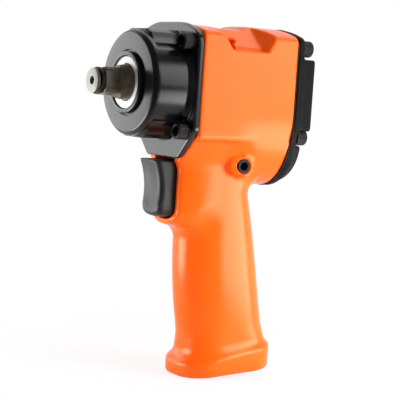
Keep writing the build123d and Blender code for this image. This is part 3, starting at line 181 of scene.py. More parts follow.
# Places are in the part's frame: the origin at the mouth of the air inlet, +X forward along the
# drive, +Y to the tool's left and +Z up. A height h is measured from the drive's axis.
AXIS_Z = 147.0
FRONT_X, REAR_X, HEAD_HALF_W = 35.0, -23.0, 27.5
SCREW_Y, FRONT_SCREW_Z, REAR_SCREW_Z = 22.0, 22.0, 23.0
CROWN, DIP_START, DIP_RUN, DIP = 31.3, 9.0, 14.0, 0.8    # the top's height, and its dip behind the front
RISE_START, RISE_RUN, RISE = 30.0, 7.0, 2.0              # the top's rise behind the dip
SHOULDER, SHOULDER_W, SHOULDER_ROUND, CROWN_ROUND = 27.8, 14.5, 3.2, 3.0
CHIN_START, CHIN_DEPTH, CHIN_POWER = -10.0, 39.9, 2.12   # where the sides start to close, and the oval there


def crown(x):
    """Height of the head's top above the axis: a shallow dip, and a rise behind it."""
    back = FRONT_X - x
    return CROWN - DIP * ease((back - DIP_START) / DIP_RUN) + RISE * ease((back - RISE_START) / RISE_RUN)


def head_top(y, h, top):
    """Distance to the head's outline across the axis, above: two sides, two shoulders, a crown."""
    rise = top - SHOULDER
    side = y - HEAD_HALF_W
    shoulder = (side * rise + (h - SHOULDER) * SHOULDER_W) / np.hypot(rise, SHOULDER_W)
    return smooth_max(smooth_max(side, shoulder, SHOULDER_ROUND), h - top, CROWN_ROUND)


def round_chin(y, h):
    """Distance to the rear outline below the axis: straight sides that close in an oval."""
    closing = oval(y, np.minimum(h - CHIN_START, 0), HEAD_HALF_W, CHIN_DEPTH, CHIN_POWER)
    return np.where(h < CHIN_START, closing, y - HEAD_HALF_W)


GRIP_Z = (103.0, 72.5, 41.0, 17.0)    # levels at which the grip's front and rear lines are known
GRIP_FRONT = np.polyfit(GRIP_Z, (24.9, 25.2, 23.5, 19.0), 3)
GRIP_REAR = np.polyfit(GRIP_Z, (-8.8, -16.9, -23.3, -28.0), 3)
GRIP_LOW, GRIP_LINES_TOP, GRIP_TOP, GRIP_HALF_W = 2.0, 108.0, 112.0, 16.4
GRIP_POWER, FULLER_TOP, FULLER_RUN, FULLER = 2.2, 26.0, 16.0, 0.6    # the oval's power, more near the foot
STAND_OUT, STAND_IN = 1.8, 0.4        # how far the oval stands out past the lines, less for a fuller one


def grip(x, y, z):
    """The raked grip: an oval between cubic front and rear lines, straight below the lowest, where
    it squares up towards the foot."""
    level = np.clip(z, GRIP_Z[-1], GRIP_LINES_TOP)
    front, rear = np.polyval(GRIP_FRONT, level), np.polyval(GRIP_REAR, level)
    power = GRIP_POWER + FULLER * ease((FULLER_TOP - z) / FULLER_RUN)
    half_depth = (front - rear) / 2 + STAND_OUT - STAND_IN * power
    section = oval(x - (front + rear) / 2, y, half_depth, GRIP_HALF_W, power)
    return np.maximum(section, slab(z, GRIP_LOW, GRIP_TOP))


BLOCK_HALF_W, BLOCK_REAR, BLOCK_TOP = 16.5, -7.0, 115.0
TAPER_START, TAPER_REACH, TAPER_RUN, BLOCK_TAPER = 15.0, 22.0, 20.0, 3.6   # how the sides close in front
SINK_START, SINK_RUN, BLOCK_SINK = 8.0, 15.0, 5.5        # and how they sink behind
KEEL_X, KEEL_Z, LIP_SLOPE = 25.0, 73.2, 0.273            # the underside, which rises to both ends
HEEL_SLOPE, HEEL_COSINE = 0.594, 0.86
LIP_TOP, LIP_RUN, BLOCK_ROUND = 82.5, 3.0, 11.0


def trigger_block(x, y, z):
    """The block that the trigger slides in: narrower to the front, with large rounds below and a
    lip that stands forward by 1 mm there, and sinking into the grip to the rear."""
    taper = BLOCK_TAPER * (np.clip(x - TAPER_START, 0, TAPER_REACH) / TAPER_RUN) ** 2
    side = y - BLOCK_HALF_W + taper + BLOCK_SINK * ease((SINK_START - x) / SINK_RUN)
    lip = KEEL_Z + (x - KEEL_X) * LIP_SLOPE - z
    heel = (KEEL_Z - (x - KEEL_X) * HEEL_SLOPE - z) * HEEL_COSINE
    around = smooth_max(side, smooth_max(lip, heel, 3.5), BLOCK_ROUND)
    front = x - FRONT_X - ease((LIP_TOP - z) / LIP_RUN)
    return np.maximum(smooth_max(around, front, 1.8), np.maximum(z - BLOCK_TOP, BLOCK_REAR - x))


def joined(one, two, k, x, y, z):
    """Two bodies with a fillet of about k mm between them, which narrows to the least where their
    faces run the same way."""
    step, least = 0.05, 0.4
    a, b = one(x, y, z), two(x, y, z)
    along = (one(x + step, y, z) - a) * (two(x + step, y, z) - b)
    along = along + (one(x, y + step, z) - a) * (two(x, y + step, z) - b)
    along = along + (one(x, y, z + step) - a) * (two(x, y, z + step) - b)
    return smooth_min(a, b, least + k * np.clip(1 - along / step**2, 0, 1))


FOOT_FRONT, FOOT_REAR, FOOT_HALF_W, FOOT_CORNER_R = 23.1, -30.9, 17.4, 14.5
SOLE_Z, SOLE_SLOPE = -1.45, np.tan(np.radians(6.0))      # under the inlet; the toe is lower than the heel
RIM_TOE_X, RIM_TOE_H, RIM_RUN, RIM_RISE = 23.4, 6.9, 54.6, 2.9    # the rim over the sole, higher behind


def foot(x, y, z):
    """The foot, between the tilted sole and its rim."""
    sole = SOLE_Z - x * SOLE_SLOPE
    rim = sole + RIM_TOE_H + (RIM_TOE_X - x) * RIM_RISE / RIM_RUN
    plan = smooth_max(rounded_plan(x, y, FOOT_FRONT, FOOT_REAR, FOOT_HALF_W, FOOT_CORNER_R), z - rim, 1.8)
    return smooth_max(plan, sole - z, 1.2)


LEDGE_H, POCKET_RISE = 19.5, 14.1     # the ledge, and the rise over which the ends' slopes are given
FRONT_END, FRONT_END_H, FRONT_LEAN, FRONT_SLANT = 17.2, 19.4, 11.4, 18.13
REAR_END, REAR_END_Y, REAR_LEAN, REAR_TURN, REAR_SLANT = -2.6, 24.0, 8.2, 7.0, 17.8
STEEP_Y, STEEP_LEAN = 23.4, 0.2       # the inner wall's lower part, and its upper part
LEANING_Y, LEANING_H, LEAN, LEAN_SLANT = 22.8, 21.4, 1.15, 1.52


def corner_pocket(x, y, h):
    """The pocket in each upper corner: sloping ends, a ledge, and an inner wall that stands steep
    below and leans back above. Each sloping plane is divided by its slant to give a distance."""
    front = ((x - FRONT_END) * POCKET_RISE - (h - FRONT_END_H) * FRONT_LEAN) / FRONT_SLANT
    rear = (REAR_END - x) * POCKET_RISE - (h - LEDGE_H) * REAR_LEAN
    rear = (rear + (REAR_END_Y - y) * REAR_TURN) / REAR_SLANT
    steep = STEEP_Y - STEEP_LEAN * (h - LEDGE_H) - y
    leaning = (LEANING_Y - LEAN * (h - LEANING_H) - y) / LEAN_SLANT
    wall = smooth_min(steep, leaning, 0.5)
    return smooth_max(smooth_max(front, rear, 0.7), smooth_max(LEDGE_H - h, wall, 0.8), 0.7)


PORT_X, PORT_R, PORT_FLOOR = 13.8, 1.9, 26.2
PORT_Y, PORT_H = 0.6225, 0.7826       # the direction from the drive's axis to the hole, across and up


def port_hole(x, y, h):
    """The blind hole in each pocket's inner wall, drilled towards the drive axis."""
    toward, beside = PORT_Y * y + PORT_H * h, PORT_Y * h - PORT_H * y
    return np.maximum(rod(x - PORT_X, beside, PORT_R), PORT_FLOOR - toward)


CASE_BORE_R, CASE_BORE_END, MOTOR_BORE_R, MOTOR_BORE_END = 22.4, 13.5, 22.93, 14.5
SPOOL_Z, SPOOL_BORE_R, SPOOL_BORE_END = 112.0, 9.09, 1.3
TAP_R, FRONT_TAP, REAR_TAP = 2.53, (14.0, 40.0), (-30.0, -8.0)
SLOT_LOW, SLOT_TOP, SLOT_HALF_W, SLOT_END, SLOT_ROUND = 78.9, 109.3, 9.3, 18.5, 7.0    # the trigger's slot
SLOT_MOUTH, MOUTH_RISE = 33.0, 2.0    # the slot is higher at its mouth
ROD_Z, ROD_BORE_R, ROD_BORE = 94.0, 4.03, (3.5, 19.5)
PLUG_X, PLUG_Z, PLUG_FACE_Y, PLUG_R, PLUG_BORE_END = 2.2, 108.0, 22.2, 3.78, 13.6
# The air's way in: the inlet bush's rim and body, the valve's bore and room, the passage to the spool.
RIM_BORE_R, RIM_BORE_TOP, BODY_BORE_R, BODY_BORE_TOP = 9.9, 2.4, 8.53, 22.0
VALVE_BORE_R, VALVE_BORE = 8.0, (21.0, 60.0)
VALVE_ROOM, VALVE_ROOM_HALF_W, VALVE_ROOM_LEVELS = (-9.6, 4.5), 4.5, (59.0, 101.0)
PASSAGE_X, PASSAGE_R, PASSAGE = -4.0, 3.5, (100.0, 106.0)
# The air's way out: a duct down each side, the way down the grip, the silencer's chest, the vent's seat.
DUCT, DUCT_INNER_Y, DUCT_OUTER_Y, DUCT_LEVELS = (8.4, 16.0), 6.8, 11.6, (63.4, 127.1)
EXHAUST, EXHAUST_HALF_W, EXHAUST_LEVELS = (10.8, 15.4), 9.0, (9.0, 71.0)
CHEST, CHEST_TOP, VENT, VENT_HALF_W, VENT_TOP = (12.4, 17.0), 10.0, (10.9, 18.5), 10.5, 0.7


def air_way(x, y, z, along, half_w, levels):
    """Distance to a square air way: between two planes across X, to half_w at each side, and between
    two levels."""
    return np.maximum(slab(x, *along), np.maximum(y - half_w, slab(z, *levels)))


def housing_hollows(x, y, z):
    """Bores, air ways and screw holes, as the machined housing has them."""
    h = z - AXIS_Z
    hollow = smooth_max(SLOT_LOW - z, y - SLOT_HALF_W, SLOT_ROUND)
    hollow = np.maximum(hollow, np.maximum(z - SLOT_TOP - MOUTH_RISE * (x > SLOT_MOUTH), SLOT_END - x))
    for bore in (
        np.maximum(rod(y, h, CASE_BORE_R), CASE_BORE_END - x),
        np.maximum(rod(y, h, MOTOR_BORE_R), x - MOTOR_BORE_END),
        np.maximum(rod(y, z - SPOOL_Z, SPOOL_BORE_R), x - SPOOL_BORE_END),
        np.maximum(rod(y - SCREW_Y, np.abs(h) - FRONT_SCREW_Z, TAP_R), slab(x, *FRONT_TAP)),
        np.maximum(rod(y - SCREW_Y, np.abs(h) - REAR_SCREW_Z, TAP_R), slab(x, *REAR_TAP)),
        np.maximum(rod(y, z - ROD_Z, ROD_BORE_R), slab(x, *ROD_BORE)),
        np.maximum(rod(x - PLUG_X, z - PLUG_Z, PLUG_R), PLUG_BORE_END - y),
        np.maximum(rod(x, y, RIM_BORE_R), z - RIM_BORE_TOP),
        np.maximum(rod(x, y, BODY_BORE_R), z - BODY_BORE_TOP),
        np.maximum(rod(x, y, VALVE_BORE_R), slab(z, *VALVE_BORE)),
        air_way(x, y, z, VALVE_ROOM, VALVE_ROOM_HALF_W, VALVE_ROOM_LEVELS),
        np.maximum(rod(x - PASSAGE_X, y, PASSAGE_R), slab(z, *PASSAGE)),
        np.maximum(air_way(x, y, z, DUCT, DUCT_OUTER_Y, DUCT_LEVELS), DUCT_INNER_Y - y),
        air_way(x, y, z, EXHAUST, EXHAUST_HALF_W, EXHAUST_LEVELS),
        np.maximum(slab(x, *CHEST), np.maximum(y - EXHAUST_HALF_W, z - CHEST_TOP)),
        np.maximum(slab(x, *VENT), np.maximum(y - VENT_HALF_W, z - VENT_TOP)),
    ):
        hollow = np.minimum(hollow, bore)
    return hollow


FRONT_SIDE_LOW, FRONT_CHIN_Z, FRONT_CHIN_R, FRONT_CHIN_LOW = -26.6, -13.8, 26.4, -36.5
BLEND_START, BLEND_RUN = 15.0, 19.0   # where the front's outline starts to turn into the rear's
PLUG_BOSS_R, PLUG_BOSS_FOOT = 6.0, 13.0               # the boss round each side plug
PLUG_TAIL, PLUG_TAPER, PLUG_SLOPE = 3.2, 0.4, 0.3     # its length to the front, where it narrows and falls


def housing(x, y, z):
    """Distance to the whole casting: bodies joined with fillets, then pockets and bores cut."""
    y = np.abs(y)
    h = z - AXIS_Z
    top = head_top(y, h, crown(x))
    chin = smooth_max(rod(y, h - FRONT_CHIN_Z, FRONT_CHIN_R), FRONT_CHIN_LOW - h, 2.5)
    front = smooth_min(smooth_max(top, FRONT_SIDE_LOW - h, 3.0), chin, 1.6)
    rear = np.maximum(top, round_chin(y, h))
    body = front + (rear - front) * ease((BLEND_START - x) / BLEND_RUN)
    body = smooth_max(body, slab(x, REAR_X, FRONT_X), 0.7)
    body = smooth_max(body, -corner_pocket(x, y, h), 0.8)
    body = smooth_max(body, -port_hole(x, y, h), 0.4)
    handle = joined(trigger_block, grip, 6.0, x, y, z)
    body = smooth_min(body, handle, 8.0)
    body = smooth_min(body, foot(x, y, z), 8.0)
    face = y - PLUG_FACE_Y + PLUG_SLOPE * np.maximum(x - PLUG_X, 0)
    boss_x = x - np.clip(x, PLUG_X, PLUG_X + PLUG_TAIL)
    boss_r = PLUG_BOSS_R - PLUG_TAPER * np.clip(x - PLUG_X, 0, PLUG_TAIL)
    boss = smooth_max(smooth_max(rod(boss_x, z - PLUG_Z, boss_r), face, 1.2), PLUG_BOSS_FOOT - y, 1.0)
    body = smooth_min(body, boss, 1.6)
    return smooth_max(body, -housing_hollows(x, y, z), 0.5)


def linear(colour):
    """An sRGB hex colour as linear red, green, blue and 1."""
    srgb = np.array([int(colour[i:i + 2], 16) for i in (1, 3, 5)]) / 255
    return (*np.where(srgb <= 0.04045, srgb / 12.92, ((srgb + 0.055) / 1.055) ** 2.4), 1.0)


def add(material, kind, inputs=None, **settings):
    """One node with its settings; inputs name its sockets and give a value or another's output."""
    made = material.node_tree.nodes.new("ShaderNode" + kind)
    for key, value in settings.items():
        setattr(made, key, value)
    for socket, value in (inputs or {}).items():
        if isinstance(value, bpy.types.NodeSocket):
            material.node_tree.links.new(value, made.inputs[socket])
        else:
            made.inputs[socket].default_value = value
    return made


def made_material(name, colours, cloud, rough, bumps, **fixed):
    """A material whose colour drifts between two hex colours over cloud mm, whose roughness drifts
    between two figures, and whose bumps are (size, height) mm; fixed values are named by socket."""
    material = bpy.data.materials.new(name)
    material.use_nodes = True
    shader = material.node_tree.nodes["Principled BSDF"]
    for socket, value in fixed.items():
        shader.inputs[socket.replace("_", " ")].default_value = value
    place = add(material, "TexCoord").outputs["Object"]
    drift = add(material, "TexNoise", {"Vector": place, "Scale": 1 / (cloud * MM), "Detail": 4.0})
    ramp = add(material, "ValToRGB", {"Fac": drift.outputs["Fac"]})
    for element, at, colour in zip(ramp.color_ramp.elements, (0.3, 0.7), colours):
        element.position, element.color = at, linear(colour)
    gloss = add(material, "MapRange", {"Value": drift.outputs["Fac"], "From Min": 0.3, "From Max": 0.7,
                                       "To Min": rough[0], "To Max": rough[1]})
    size, height = bumps
    grit = add(material, "TexNoise", {"Vector": place, "Scale": 1 / (size * MM), "Detail": 2.0})
    bump = add(material, "Bump", {"Height": grit.outputs["Fac"], "Strength": 1.0, "Distance": height * MM})
    material.node_tree.links.new(ramp.outputs["Color"], shader.inputs["Base Color"])
    material.node_tree.links.new(gloss.outputs["Result"], shader.inputs["Roughness"])
    material.node_tree.links.new(bump.outputs["Normal"], shader.inputs["Normal"])
    return material


# Sprayed and stoved enamel over the casting: a soft, slightly warm gloss with a faint orange peel.
enamel = made_material("orange_enamel_stoved_on_casting", ("#FF5A02", "#FF6004"), 30, (0.22, 0.28),
                       (1.6, 0.008), IOR=1.45, Specular_Tint=linear("#FFEBC4"))

casting = cast_piece("housing_casting", housing, (-33.0, -29.2, -6.0), (38.0, 29.2, 182.0), 0.85)
casting.data.materials.append(enamel)
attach(casting, "tool_body")
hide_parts("motor_housing")


# Hammer case: a cast alloy shell and flange in one, turned in front and enamelled black all over,
# with a flat pad above and below, a scallop beside each screw, and a boss round the anvil.
CORNER_STEPS = 7


def rounded(corners, closed, steps=CORNER_STEPS):
    """A line through corners (u, v, radius), with each corner rounded by a parabola that leaves
    and joins its two sides where an arc of that radius would."""
    corner = np.array(corners, float)
    at, r = corner[:, :2], corner[:, 2:]
    to_last, to_next = np.roll(at, 1, 0) - at, np.roll(at, -1, 0) - at
    if not closed:
        r[[0, -1]] = 0
        to_last[0], to_next[-1] = to_next[0], to_last[-1]
    to_last = to_last / np.linalg.norm(to_last, axis=1, keepdims=True)
    to_next = to_next / np.linalg.norm(to_next, axis=1, keepdims=True)
    half = np.arccos(np.clip((to_last * to_next).sum(1, keepdims=True), -1, 1)) / 2
    reach = r / np.maximum(np.tan(half), 1e-6) * (r > 0)
    s = np.linspace(0, 1, steps)[None, :, None]
    start, end = (at + to_last * reach)[:, None], (at + to_next * reach)[:, None]
    return ((1 - s) ** 2 * start + 2 * s * (1 - s) * at[:, None] + s * s * end).reshape(-1, 2)


def polar(outline, angle):
    """Distance from the axis to a closed outline in (y, h), in each direction."""
    s = np.linspace(0, 1, 30, endpoint=False)[None, :, None]
    dense = (outline[:, None] * (1 - s) + np.roll(outline, -1, 0)[:, None] * s).reshape(-1, 2)
    way = np.arctan2(dense[:, 1], dense[:, 0])
    order = np.argsort(way)
    return np.interp(angle, way[order], np.hypot(*dense[order].T), period=2 * np.pi)


def swept(x, y, z, closed):
    """Points and faces of a grid whose columns go round; its rows close too where closed is set."""
    points = np.stack(np.broadcast_arrays(x, y, z), axis=-1)
    rows, columns = points.shape[:2]
    index = np.arange(rows * columns).reshape(rows, columns)
    below = np.roll(index, -1, 0) if closed else index[1:]
    index = index if closed else index[:-1]
    quads = np.stack([index, np.roll(index, -1, 1), np.roll(below, -1, 1), below], axis=-1)
    return points.reshape(-1, 3), quads.reshape(-1, 4)


def together(name, sheets, crease):
    """One piece from several grids of points and faces."""
    starts = np.cumsum([0] + [len(points) for points, _ in sheets[:-1]])
    faces = [quads + start for (_, quads), start in zip(sheets, starts)]
    return finished_mesh(name, np.concatenate([points for points, _ in sheets]), np.concatenate(faces),
                         crease)


def round_drive(x, r, angle, y=0.0, z=AXIS_Z):
    """A grid turned about a line along X: rows at x, columns at angle, and radius r at each point."""
    return np.asarray(x)[:, None], y + r * np.cos(angle), z + r * np.sin(angle)


angle = np.linspace(0, 2 * np.pi, 720, endpoint=False)
FLANGE_BACK, FLANGE_X, CASE_END, DISC_X = 35.5, 39.0, 61.6, 57.4
CASE_R, STEP_R, FACE_R = 26.5, 27.6, 24.5
CHAMBER_R, CHAMBER_END, NOSE_BORE_R, BOSS_R, BOSS_END = 22.4, 52.0, 13.09, 15.5, 63.6
GROOVE_W, GROOVE_DEPTH = 0.9, 1.0                # round the boss
FRONT_ROUND, ROUND_BACK, FACET = 1.9, 2.3, 0.3   # the front edge's round, where it starts, and its facet
EDGE, EDGE_MID = 0.5, 0.15                       # a small round, and how far its middle is from each side
flange_half = [(14.2, -36.5, 4), (28, -21.9, 5), (28, 26.6, 8), (13, 31.8, 30)]
flange_r = polar(rounded(flange_half + [(-y, h, r) for y, h, r in reversed(flange_half)], True), angle)
pads_half = [(7.5, -27, 1.2), (11.5, -25.4, 1.4), (15.5, -21, 0), (15.5, 21, 0), (11.5, 25.7, 1.4),
             (7.5, 27.3, 1.2)]
pads_r = polar(rounded(pads_half + [(-y, h, r) for y, h, r in reversed(pads_half)], True), angle)
corner_way = np.mod(angle, np.pi / 2) - np.pi / 4
corner_r = np.hypot(SCREW_Y, FRONT_SCREW_Z)
SCALLOP_R, NO_SCALLOP = 5.3, 99.0
across = corner_r * np.sin(corner_way)
scallop = corner_r * np.cos(corner_way) - np.sqrt(np.maximum(SCALLOP_R**2 - across**2, 0))
scallop = np.where(np.abs(across) < SCALLOP_R, scallop, NO_SCALLOP)
step_r = np.minimum(np.maximum(STEP_R, pads_r), scallop)
shell_r = np.minimum(smooth_max(CASE_R, pads_r, 0.8), scallop)
case_rows = [(FLANGE_BACK, CHAMBER_R), (FLANGE_BACK, flange_r - EDGE),
             (FLANGE_BACK + EDGE_MID, flange_r - EDGE_MID), (FLANGE_BACK + EDGE, flange_r),
             (FLANGE_X - EDGE, flange_r), (FLANGE_X - EDGE_MID, flange_r - EDGE_MID),
             (FLANGE_X, flange_r - EDGE)]
# Two rows keep the flange's face flat up to its edges; they meet where the face is narrow.
ledge_r = (flange_r + step_r + 0.1) / 2
case_rows += [(FLANGE_X, np.maximum(flange_r - 0.9, ledge_r)),
              (FLANGE_X, np.minimum(step_r + 1.0, ledge_r))]
# A fillet, a low step and a slope lead from the flange to the shell.
case_rows += [(FLANGE_X, step_r + 0.6), (FLANGE_X + 0.18, step_r + 0.18), (FLANGE_X + 0.6, step_r),
              (FLANGE_X + 1.4, step_r), (FLANGE_X + 1.8, step_r - 0.2), (FLANGE_X + 3.0, shell_r + 0.15),
              (FLANGE_X + 3.6, shell_r), (FLANGE_X + 3.9, shell_r)]
# The pads and scallops run out in a short curve behind the round front end.
run_out = ((-1.2, 0), (-0.9, 0), (-0.4, 0.15), (0, 0.5), (0.25, 0.85), (0.4, 1), (1.9, 1))
case_rows += [(DISC_X + x, shell_r + share * (CASE_R - shell_r)) for x, share in run_out]
# The front edge turns in quickly to a small facet, and the facet meets the flat face at a crisp edge.
bend = np.radians(np.arange(15, 61, 15))
case_rows += [(CASE_END - ROUND_BACK + FRONT_ROUND * np.sin(b),
               CASE_R - FRONT_ROUND + FRONT_ROUND * np.cos(b)) for b in bend]
case_rows += [(CASE_END - FACET, FACE_R + 0.55), (CASE_END - 0.06, FACE_R + 0.2), (CASE_END, FACE_R - 0.2)]
# A groove parts the face from the boss, whose mouth takes the anvil's bush.
case_rows += [(CASE_END, BOSS_R + GROOVE_W + 0.2), (CASE_END - 0.2, BOSS_R + GROOVE_W),
              (CASE_END - GROOVE_DEPTH, BOSS_R + GROOVE_W), (CASE_END - GROOVE_DEPTH, BOSS_R),
              (BOSS_END - EDGE, BOSS_R), (BOSS_END - EDGE_MID, BOSS_R - EDGE_MID), (BOSS_END, BOSS_R - EDGE),
              (BOSS_END, NOSE_BORE_R + 0.3), (BOSS_END - 0.3, NOSE_BORE_R),
              (CHAMBER_END, NOSE_BORE_R), (CHAMBER_END, CHAMBER_R)]
case_x = np.array([x for x, _ in case_rows])
case_r = np.array([np.broadcast_to(r, angle.shape) for _, r in case_rows])
points, quads = swept(*round_drive(case_x, case_r, angle), True)
case = finished_mesh("hammer_case_casting", points, quads, 40)

# Black enamel over a smooth casting: deep and glossy, with a very slight unevenness.
black_gloss = made_material("black_enamel_stoved_on_casting", ("#08080A", "#0E0E10"), 12, (0.20, 0.26),
                            (1.2, 0.006), IOR=1.5)
# The same enamel where the casting keeps the grain of its sand: it glints in points.
black_grain = made_material("black_enamel_on_sand_cast_skin", ("#0A0A0B", "#131314"), 6, (0.16, 0.23),
                            (0.9, 0.014), IOR=1.5)
case.data.materials.append(black_gloss)
case.data.materials.append(black_grain)
middle = np.empty((len(case.data.polygons), 3), np.float32)
case.data.polygons.foreach_get("center", middle.ravel())
on_flange = (middle[:, 0] < (FLANGE_X + 0.1) * MM).astype(np.int32)
case.data.polygons.foreach_set("material_index", on_flange)
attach(case, "tool_body")
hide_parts("hammer_case")


# Cap screws: eight hardened steel screws, blacked, with knurled heads and hexagon sockets. Four hold
# the hammer case from the front and four hold the rear cover; each bears on a plain washer.
def hexagon(angle, flat):
    """Distance from the middle of a hexagon to its edge, with flat to the middle of each side."""
    return flat / np.cos(np.mod(angle + np.pi / 6, np.pi / 3) - np.pi / 6)


HEAD_R, HEAD_H, THREAD_R = 4.25, 5.6, 2.5
KEY_FLAT, KEY_DEPTH, KEY_POINT = 2.3, 3.0, 0.4              # the socket, and the drill's point below it
KEY_MOUTH_R, KEY_RIM_R, KEY_RIM_DEPTH = 2.95, 2.75, 0.25    # the countersink round the socket
WASHER_R, WASHER_HOLE_R, WASHER_T = 4.6, 2.8, 1.0
KNURLS, KNURL_DEPTH = 30, 0.22
screw_angle = np.linspace(0, 2 * np.pi, 180, endpoint=False)
knurl = KNURL_DEPTH * (0.5 - 0.5 * np.cos(KNURLS * screw_angle)) ** 2


def screw_grid(seat, tip, out, y, z):
    """One cap screw: tip, thread, head with its knurl, and the socket sunk in the head's top."""
    length = abs(seat - tip)
    top = length + HEAD_H
    line = rounded([(0, 0, 0), (0, THREAD_R, 0.4), (length, THREAD_R, 0), (length, HEAD_R, 0.2),
                    (top, HEAD_R, 0.6), (top, KEY_MOUTH_R, 0.2), (top - KEY_RIM_DEPTH, KEY_RIM_R, 0)], False)
    s = np.concatenate([line[:, 0], [top - KEY_DEPTH, top - KEY_DEPTH - KEY_POINT]])
    r = np.concatenate([line[:, 1], [0, 0]])[:, None] + 0 * screw_angle
    r[len(line) - CORNER_STEPS:-1] = hexagon(screw_angle, KEY_FLAT)
    r[:-2] -= knurl * (np.abs(line[:, 1:] - HEAD_R) < 1e-6)
    points, quads = swept(*round_drive(tip + out * s, r, screw_angle, y, z), False)
    return points, quads[:, ::out]


def ring_grid(line, angle, y=0.0, z=AXIS_Z):
    """A closed outline in (x, r), turned about a line along X."""
    return swept(*round_drive(line[:, 0], line[:, 1:] + 0 * angle, angle, y, z), True)


# Oil-blacked steel: near black and smooth, with a low gloss, and paler where the oil has dried.
black_oxide = made_material("oil_blacked_steel", ("#141416", "#232323"), 3, (0.28, 0.42), (0.5, 0.008),
                            Metallic=0.7)
FRONT_SEAT, FRONT_TIP, REAR_SEAT, REAR_TIP = 40.0, 21.0, -28.5, -9.0
for group, seat, tip, out, screw_z in (("front", FRONT_SEAT, FRONT_TIP, 1, FRONT_SCREW_Z),
                                       ("rear", REAR_SEAT, REAR_TIP, -1, REAR_SCREW_Z)):
    places = [(y, AXIS_Z + z) for y in (-SCREW_Y, SCREW_Y) for z in (-screw_z, screw_z)]
    screws = together(group + "_cap_screws", [screw_grid(seat, tip, out, *place) for place in places], 40)
    near, far = sorted((seat, seat - out * WASHER_T))
    flat_ring = rounded([(near, WASHER_HOLE_R, 0.1), (near, WASHER_R, 0.2), (far, WASHER_R, 0.2),
                         (far, WASHER_HOLE_R, 0.1)], True)
    rings = [ring_grid(flat_ring, screw_angle, *place) for place in places]
    washers = together(group + "_plain_washers", rings, 40)
    for piece, node in ((screws, group + "_screws"), (washers, group + "_washers")):
        piece.data.materials.append(black_oxide)
        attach(piece, "tool_body")
        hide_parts(node)


# Anvil: forged alloy steel, turned behind and milled square in front, hardened and tempered. A
# groove behind its nose holds the friction ring that keeps a socket on.
SQUARE_HALF, SQUARE_ROUND, SQUARE_TURN = 6.35, 1.9, np.radians(9.0)
SHANK_R, SHANK_END, SQUARE_END, RING_END, NOSE_END = 9.1, 63.2, 77.2, 80.1, 81.7
RING_GROOVE_R, NOSE_R, NOSE_HOLE_R, NOSE_HOLE_DEPTH = 4.8, 6.1, 1.75, 7.0
RUN_OUT, CUTTER_R, LIFTED = 69.6, 2.6, 67.0    # where the flats end, the mill's round, where it is clear
NECK, TAPER, TAPER_STOP = 0.12, 0.176, 68.6    # the shank's step at the bush, its slope and the slope's end
TAIL_X, TAIL_R, JAW_X, JAW_END, JAW_R, HUB_R, JAW_HALF = 22.4, 4.5, 25.4, 48.5, 9.0, 6.5, np.radians(35)
COLLAR_R, COLLAR_END, CHAMFER = 12.2, 50.7, 0.3
BLUNT_R, BLUNT = 7.3, 0.15                     # the square's corners are turned down at its end
anvil_angle = np.linspace(0, 2 * np.pi, 360, endpoint=False)
toward = np.abs(np.mod(anvil_angle - SQUARE_TURN, np.pi / 2) - np.pi / 4)


def square_r(half):
    """Distance from the axis to a square with rounded corners, half wide to each flat."""
    to_round = np.sqrt(2) * (half - SQUARE_ROUND)
    flat = half / np.cos(np.pi / 4 - toward)
    beside = to_round * np.sin(toward)
    corner = to_round * np.cos(toward) + np.sqrt(np.maximum(SQUARE_ROUND**2 - beside**2, 0))
    return np.where(flat * np.sin(np.pi / 4 - toward) > half - SQUARE_ROUND, corner, flat)


def drive_r(x):
    """The milled end: a tapered round, cut to a square by a mill that lifts out where the flats end."""
    lift = CUTTER_R - np.sqrt(np.maximum(CUTTER_R**2 - np.maximum(RUN_OUT - x, 0) ** 2, 0))
    shank = SHANK_R - NECK - TAPER * (min(x, TAPER_STOP) - SHANK_END)
    return np.minimum(square_r(SQUARE_HALF + lift), shank)


square = drive_r(SQUARE_END)
jaw = np.where(np.abs(anvil_angle - np.pi / 2) < JAW_HALF, JAW_R, HUB_R)
anvil_rows = [(TAIL_X, 0), (TAIL_X, TAIL_R - CHAMFER), (TAIL_X + CHAMFER, TAIL_R), (JAW_X, TAIL_R),
              (JAW_X, jaw), (JAW_END, jaw), (JAW_END, COLLAR_R - CHAMFER), (JAW_END + CHAMFER, COLLAR_R),
              (COLLAR_END - CHAMFER, COLLAR_R), (COLLAR_END, COLLAR_R - CHAMFER), (COLLAR_END, SHANK_R),
              (SHANK_END - 0.4, SHANK_R)]
anvil_rows += [(x, drive_r(x)) for x in np.linspace(SHANK_END, LIFTED, 5)]
anvil_rows += [(x, drive_r(x)) for x in np.linspace(LIFTED + 0.1, RUN_OUT, 14)]
anvil_rows += [(SQUARE_END - 0.9, square), (SQUARE_END - BLUNT, np.minimum(square, BLUNT_R + BLUNT)),
               (SQUARE_END, np.minimum(square, BLUNT_R) - BLUNT), (SQUARE_END, RING_GROOVE_R),
               (RING_END, RING_GROOVE_R), (RING_END, NOSE_R - CHAMFER), (RING_END + 0.1, NOSE_R - 0.1),
               (RING_END + CHAMFER, NOSE_R), (NOSE_END - CHAMFER, NOSE_R), (NOSE_END - 0.08, NOSE_R - 0.08),
               (NOSE_END, NOSE_R - CHAMFER), (NOSE_END, NOSE_HOLE_R + 0.4), (NOSE_END - 0.4, NOSE_HOLE_R),
               (NOSE_END - NOSE_HOLE_DEPTH, NOSE_HOLE_R), (NOSE_END - NOSE_HOLE_DEPTH - 0.8, 0)]
anvil_r = np.array([np.broadcast_to(r, anvil_angle.shape) for _, r in anvil_rows])
points, quads = swept(*round_drive([x for x, _ in anvil_rows], anvil_r, anvil_angle), False)
anvil = finished_mesh("anvil_forging", points, quads, 35)
# Phosphated steel under oil: brown-grey and half bright, with a fine grain.
phosphate = made_material("oiled_phosphated_steel", ("#4C4538", "#675E4E"), 4, (0.3, 0.42), (0.6, 0.012),
                          Metallic=0.45)
